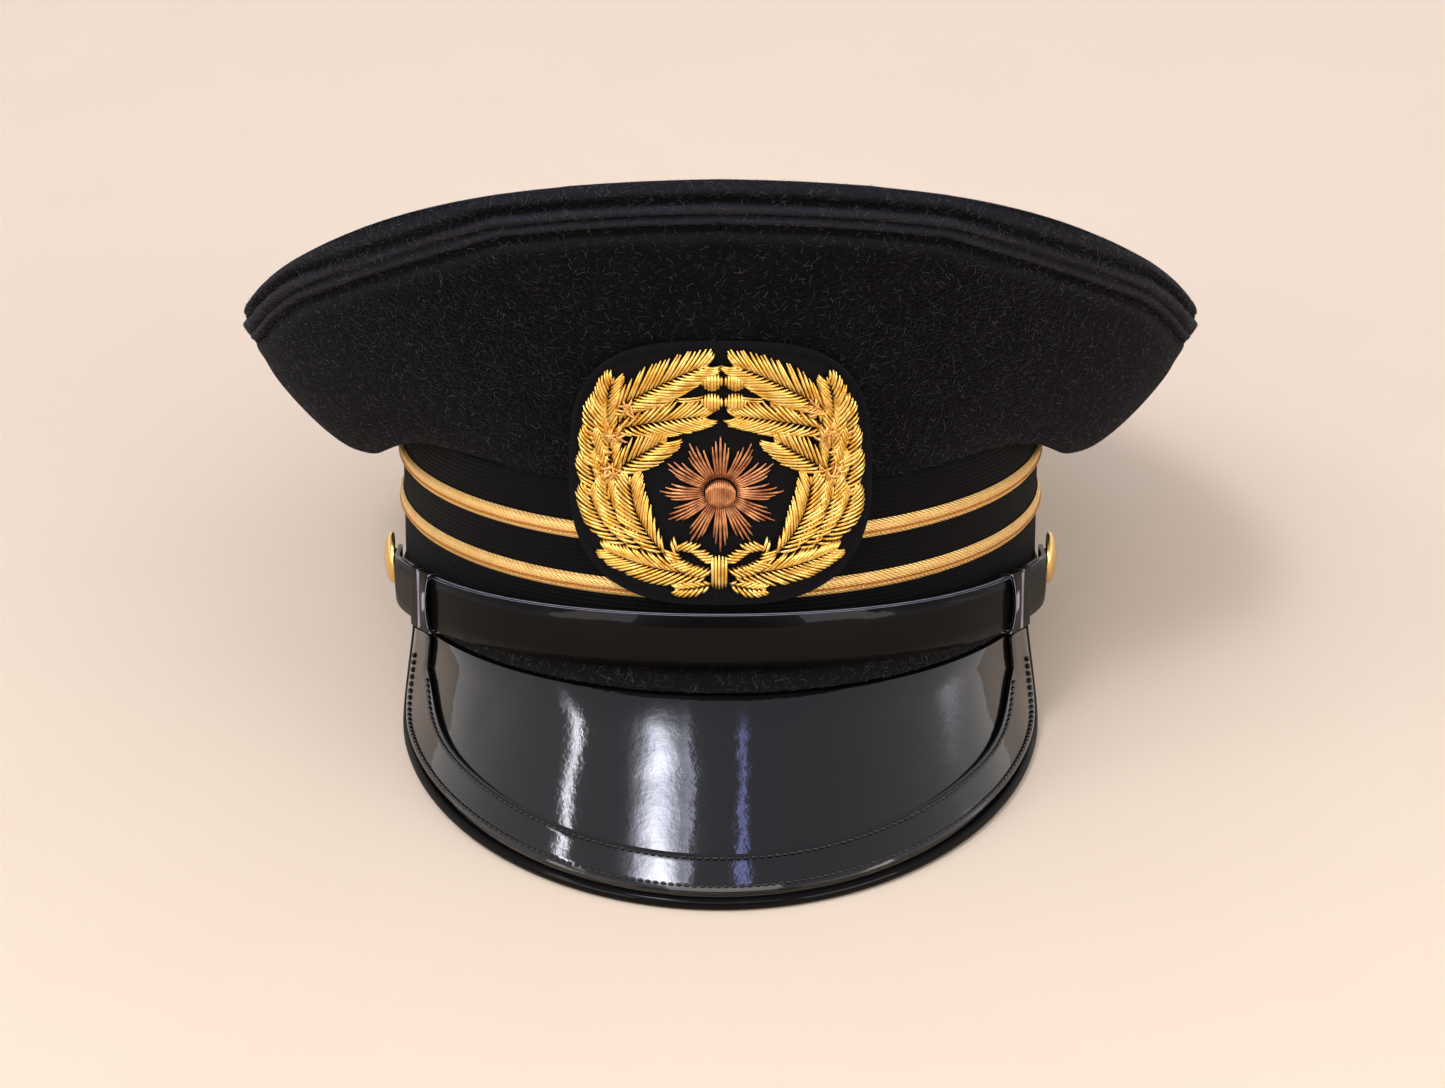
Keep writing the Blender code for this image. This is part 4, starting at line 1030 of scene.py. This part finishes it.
def make_berries():
    """Each berry is a dome of upright strands; double stems run out of the leaves."""
    for number in range(1, 5):
        node = f"berry_{number}"
        low, high = cap_box(node)
        x = 0.5 * (low[0] + high[0]) / MM
        z = 0.5 * (low[2] + high[2]) / MM
        paths = []
        for k in range(-3, 4):
            offset = k * BERRY_PITCH
            half = math.sqrt(BERRY_RADIUS ** 2 - offset ** 2)
            rise = 1.3 * math.cos(0.4 * k)
            paths.append(strand(Vector((x + offset, z + half)), Vector((x + offset, z - half)),
                                0.5 * rise, 0.9 * rise, 1))
        finish(lay_threads(node + "_bullion", paths, BERRY_STRAND * MM), GOLD, "gold_bullion",
               node)
    paths = []
    for side in (-1, 1):
        for foot, tip in STEMS:
            for shift in (-STEM_SPREAD, STEM_SPREAD):
                start = Vector(foot) + Vector((0, shift))
                end = Vector(tip) + Vector((0, shift))
                paths.append(strand(start, end, 0.4, 0.4, -side))
    finish(lay_threads("berry_stems_bullion", paths, STEM_STRAND * MM), GOLD, "gold_bullion")


make_berries()

# Middles of the knots of couched stitches on the left spray, and the strands in each
COUCHED = ((-20.8, 72.6), (-24.0, 65.6), (-25.6, 55.8))
COUCHED_STRANDS = 7
COUCHED_STRAND = 0.6
COUCHED_REACH = 1.9
COUCHED_STRAY = 1.3


def couch_sprays():
    """Short strands of redder gold that cross one another where the leaves meet."""
    paths = []
    for side in (1, -1):
        for x, z in COUCHED:
            for k in range(COUCHED_STRANDS):
                spin = 0.9 * k + STITCH_RANDOM.uniform(-0.2, 0.2)
                way = COUCHED_REACH * Vector((math.cos(spin), math.sin(spin)))
                stray = [STITCH_RANDOM.uniform(-COUCHED_STRAY, COUCHED_STRAY) for _ in range(2)]
                middle = Vector((x, z)) + Vector(stray)
                paths.append(strand(middle - way, middle + way, 1.5, 0.7, side))
    finish(lay_threads("couched_bullion", paths, COUCHED_STRAND * MM), RED_GOLD, "gold_bullion")


couch_sprays()

PETALS = 12
PETAL_STRAND = 0.64
# Strands of a petal, counted from its middle one, and their angles apart at the boss and
# at the tips, in radians
PETAL_FAN = (-2, -1, 0, 1, 2)
FAN_NEAR = 0.11
FAN_FAR = 0.078
# A petal strand's arch: shares of its length, and how far it lies off the felt
PETAL_ARCH = ((0.0, 0.1), (0.2, 0.7), (0.5, 1.0), (0.8, 0.8), (1.0, 0.05))
# The boss's strands each side of its middle one, and shares of a strand's half length
BOSS_SIDE = 8
BOSS_STRAND = 0.48
BOSS_RISE = 2.1
BOSS_SHARES = (-1.0, -0.93, -0.5, 0.0, 0.5, 0.93, 1.0)


def make_rosette():
    """Pointed petals of copper strands round a flat boss, a plain turned ornament."""
    low, high = cap_box("rosette")
    reach = 0.5 * (high[0] - low[0]) / MM
    boss_low, boss_high = cap_box("rosette_boss")
    boss = 0.5 * (boss_high[0] - boss_low[0]) / MM
    centre = Vector((0.0, 0.5 * (boss_low[2] + boss_high[2]) / MM))
    paths = []
    for petal in range(PETALS):
        spin = 2 * math.pi * petal / PETALS
        for k in PETAL_FAN:
            near = spin + FAN_NEAR * k
            far = spin + FAN_FAR * k * STITCH_RANDOM.uniform(0.9, 1.15)
            start = centre + (boss + 0.5) * Vector((math.sin(near), math.cos(near)))
            end = reach * (1 - 0.1 * abs(k)) * STITCH_RANDOM.uniform(0.95, 1.0)
            end = centre + end * Vector((math.sin(far), math.cos(far)))
            path = []
            for share, rise in PETAL_ARCH:
                spot = start.lerp(end, share)
                path.append(on_patch(spot.x, spot.y, rise * (1.15 - 0.15 * abs(k))))
            paths.append(path)
    finish(lay_threads("rosette_bullion", paths, PETAL_STRAND * MM), COPPER, "copper_bullion",
           "rosette")
    paths = []
    for k in range(-BOSS_SIDE, BOSS_SIDE + 1):
        offset = k * boss / (BOSS_SIDE + 0.6)
        half = math.sqrt(boss ** 2 - offset ** 2)
        path = []
        for share in BOSS_SHARES:
            height = BOSS_RISE if abs(share) < 1 else 0.6
            height -= 0.35 * (abs(offset) / boss) ** 2
            path.append(on_patch(centre.x + offset, centre.y + share * half, height))
        paths.append(path)
    finish(lay_threads("rosette_boss_bullion", paths, BOSS_STRAND * MM), COPPER, "copper_bullion",
           "rosette_boss")


make_rosette()


EDGE_STITCHES = 420
EDGE_THREAD = 0.24
# The patch's outline is a superellipse of this power
PATCH_POWER = 3
# A stitch over the edge: shares of the way out from the middle, and its rise
EDGE_STITCH = ((0.975, -0.1), (0.955, 0.03), (0.93, 0.03), (0.91, -0.15))


def edge_satin():
    """Close black stitches that bind the patch's edge down."""
    middle = Vector((0.0, 0.5 * (PATCH_LOW[2] + PATCH_HIGH[2]) / MM))
    half_x = 0.5 * (PATCH_HIGH[0] - PATCH_LOW[0]) / MM
    half_z = 0.5 * (PATCH_HIGH[2] - PATCH_LOW[2]) / MM
    paths = []
    for k in range(EDGE_STITCHES):
        spin = 2 * math.pi * k / EDGE_STITCHES
        across = math.copysign(abs(math.sin(spin)) ** (2 / PATCH_POWER), math.sin(spin))
        above = math.copysign(abs(math.cos(spin)) ** (2 / PATCH_POWER), math.cos(spin))
        spot = Vector((half_x * across, half_z * above))
        path = []
        for share, rise in EDGE_STITCH:
            place = middle + share * spot
            path.append(on_patch(place.x, place.y, rise))
        paths.append(path)
    finish(lay_threads("badge_edge_stitches", paths, EDGE_THREAD * MM, 4), FELT, "felt")


edge_satin()
bpy.data.objects.remove(LOOSE_FIBRE)


# Setting


def look_at(thing, target):
    """Turns a light or the camera towards a target."""
    way = Vector(target) - thing.location
    thing.rotation_euler = way.to_track_quat("-Z", "Y").to_euler()


def soft_light(name, place, target, width, height, power, colour):
    """A rectangular lamp, so large that its shadows are soft."""
    light = bpy.data.lights.new(name, "AREA")
    light.shape = "RECTANGLE"
    light.size = width
    light.size_y = height
    light.energy = power
    light.color = linear(colour)[:3]
    lamp = bpy.data.objects.new(name, light)
    bpy.context.collection.objects.link(lamp)
    lamp.location = place
    look_at(lamp, target)


def paper_floor():
    """Matt cream studio paper, with the faint cloudiness of its pulp."""
    material, tree, shader = new_material("studio_paper", Roughness=0.9, Specular_IOR_Level=0.2)
    place = add_node(tree, "ShaderNodeTexCoord").outputs["Object"]
    clouds = add_node(tree, "ShaderNodeTexNoise", inputs={
        "Vector": place, "Scale": 1 / (60 * MM), "Detail": 6.0})
    colour = add_node(tree, "ShaderNodeMix", {"data_type": "RGBA"}, {
        0: clouds.outputs["Fac"], 6: linear("#e0ceb7"), 7: linear("#e3d2bd")})
    tree.links.new(colour.outputs[2], shader.inputs["Base Color"])
    bpy.ops.object.select_all(action="DESELECT")
    bpy.ops.mesh.primitive_plane_add(size=8)
    floor = bpy.context.object
    floor.name = "floor"
    floor.data.materials.append(material)


# Tall windows seen from the table: the way to the middle (across and along), the half
# widths of the soft patch, its strength and its colour
Window = namedtuple("Window", "x y across along strength colour")
WINDOWS = (
    Window(-0.72, -0.23, 0.020, 0.12, 26.0, "#f6f4ff"),
    Window(-0.32, -0.44, 0.085, 0.12, 31.0, "#eceeff"),
    Window(-0.17, -0.44, 0.02, 0.12, 6.0, "#dfe6ff"),
    Window(0.11, -0.46, 0.022, 0.12, 7.0, "#a8b2ff"),
    Window(0.95, 0.20, 0.02, 0.08, 1.8, "#f4ecff"),
)


def add_window(tree, parts, window):
    """The light of one window, as a soft patch in the room."""
    squares = []
    for axis, middle, half in ((0, window.x, window.across), (1, window.y, window.along)):
        offset = add_node(tree, "ShaderNodeMath", {"operation": "SUBTRACT"}, {
            0: parts.outputs[axis], 1: middle})
        share = add_node(tree, "ShaderNodeMath", {"operation": "DIVIDE"}, {
            0: offset.outputs[0], 1: half})
        squares.append(add_node(tree, "ShaderNodeMath", {"operation": "MULTIPLY"}, {
            0: share.outputs[0], 1: share.outputs[0]}))
    fall = add_node(tree, "ShaderNodeMath", {"operation": "ADD"}, {
        0: squares[0].outputs[0], 1: squares[1].outputs[0]})
    pane = add_node(tree, "ShaderNodeMath", {"operation": "POWER"}, {
        0: math.exp(-1), 1: fall.outputs[0]})
    strength = add_node(tree, "ShaderNodeMath", {"operation": "MULTIPLY"}, {
        0: pane.outputs[0], 1: window.strength})
    return add_node(tree, "ShaderNodeBackground", inputs={
        "Color": linear(window.colour), "Strength": strength.outputs[0]})


ROOM_LIGHT = 0.6
# Added light low down, behind the onlooker and at the sides
GLOW_BEHIND = 0.2
GLOW_SIDES = 1.0


def pale_room():
    """The white room round the table: cool from above, brighter low down at the sides."""
    world = bpy.data.worlds.new("pale_room")
    world.use_nodes = True
    tree = world.node_tree
    way = add_node(tree, "ShaderNodeTexCoord").outputs["Generated"]
    parts = add_node(tree, "ShaderNodeSeparateXYZ", inputs={0: way})
    low = add_node(tree, "ShaderNodeMapRange", inputs={
        "Value": parts.outputs[2], "To Min": 1.0, "To Max": 0.0})
    lower = add_node(tree, "ShaderNodeMath", {"operation": "POWER"}, {
        0: low.outputs[0], 1: 2.0})
    side = add_node(tree, "ShaderNodeMapRange", inputs={
        "Value": parts.outputs[1], "From Min": -0.95, "From Max": -0.3,
        "To Min": GLOW_BEHIND, "To Max": GLOW_SIDES})
    glow = add_node(tree, "ShaderNodeMath", {"operation": "MULTIPLY"}, {
        0: lower.outputs[0], 1: side.outputs[0]})
    even = add_node(tree, "ShaderNodeMath", {"operation": "ADD"}, {
        0: glow.outputs[0], 1: ROOM_LIGHT})
    # The far end behind the onlooker is unlit
    unlit = add_node(tree, "ShaderNodeMapRange", inputs={
        "Value": parts.outputs[1], "From Min": -0.97, "From Max": -0.85,
        "To Min": 0.1, "To Max": 1.0})
    strength = add_node(tree, "ShaderNodeMath", {"operation": "MULTIPLY"}, {
        0: even.outputs[0], 1: unlit.outputs[0]})
    colour = add_node(tree, "ShaderNodeMix", {"data_type": "RGBA"}, {
        0: low.outputs[0], 6: linear("#eeeeff"), 7: linear("#fffaf5")})
    light = tree.nodes["Background"]
    tree.links.new(colour.outputs[2], light.inputs["Color"])
    tree.links.new(strength.outputs[0], light.inputs["Strength"])
    for window in WINDOWS:
        pane = add_window(tree, parts, window)
        light = add_node(tree, "ShaderNodeAddShader", inputs={
            0: light.outputs[0], 1: pane.outputs[0]})
    tree.links.new(light.outputs[0], tree.nodes["World Output"].inputs["Surface"])
    bpy.context.scene.world = world


paper_floor()
pale_room()
MIDDLE = (0, 0, 60 * MM)
soft_light("front_fill", (0, -1.35, 1.15), MIDDLE, 1.2, 0.5, 5.5, "#fffaf4")
soft_light("left_fill", (-1.15, -1.0, 0.45), MIDDLE, 1.0, 0.6, 9.0, "#fff8f0")
soft_light("right_fill", (1.15, -1.0, 0.45), MIDDLE, 1.0, 0.6, 10.5, "#fff8f0")

# The eye looks down on the cap at 26 degrees from 0.95 m
EYE = (0, -0.855203, 0.443098)
AIM = (0, -0.0011973, 0.0269559)
camera = bpy.data.objects.new("camera", bpy.data.cameras.new("camera"))
bpy.context.collection.objects.link(camera)
camera.location = EYE
look_at(camera, AIM)
camera.data.lens = 89.16
camera.data.sensor_width = 36
camera.data.shift_x = 0.0014
bpy.context.scene.camera = camera
bpy.context.scene.view_settings.view_transform = "Standard"
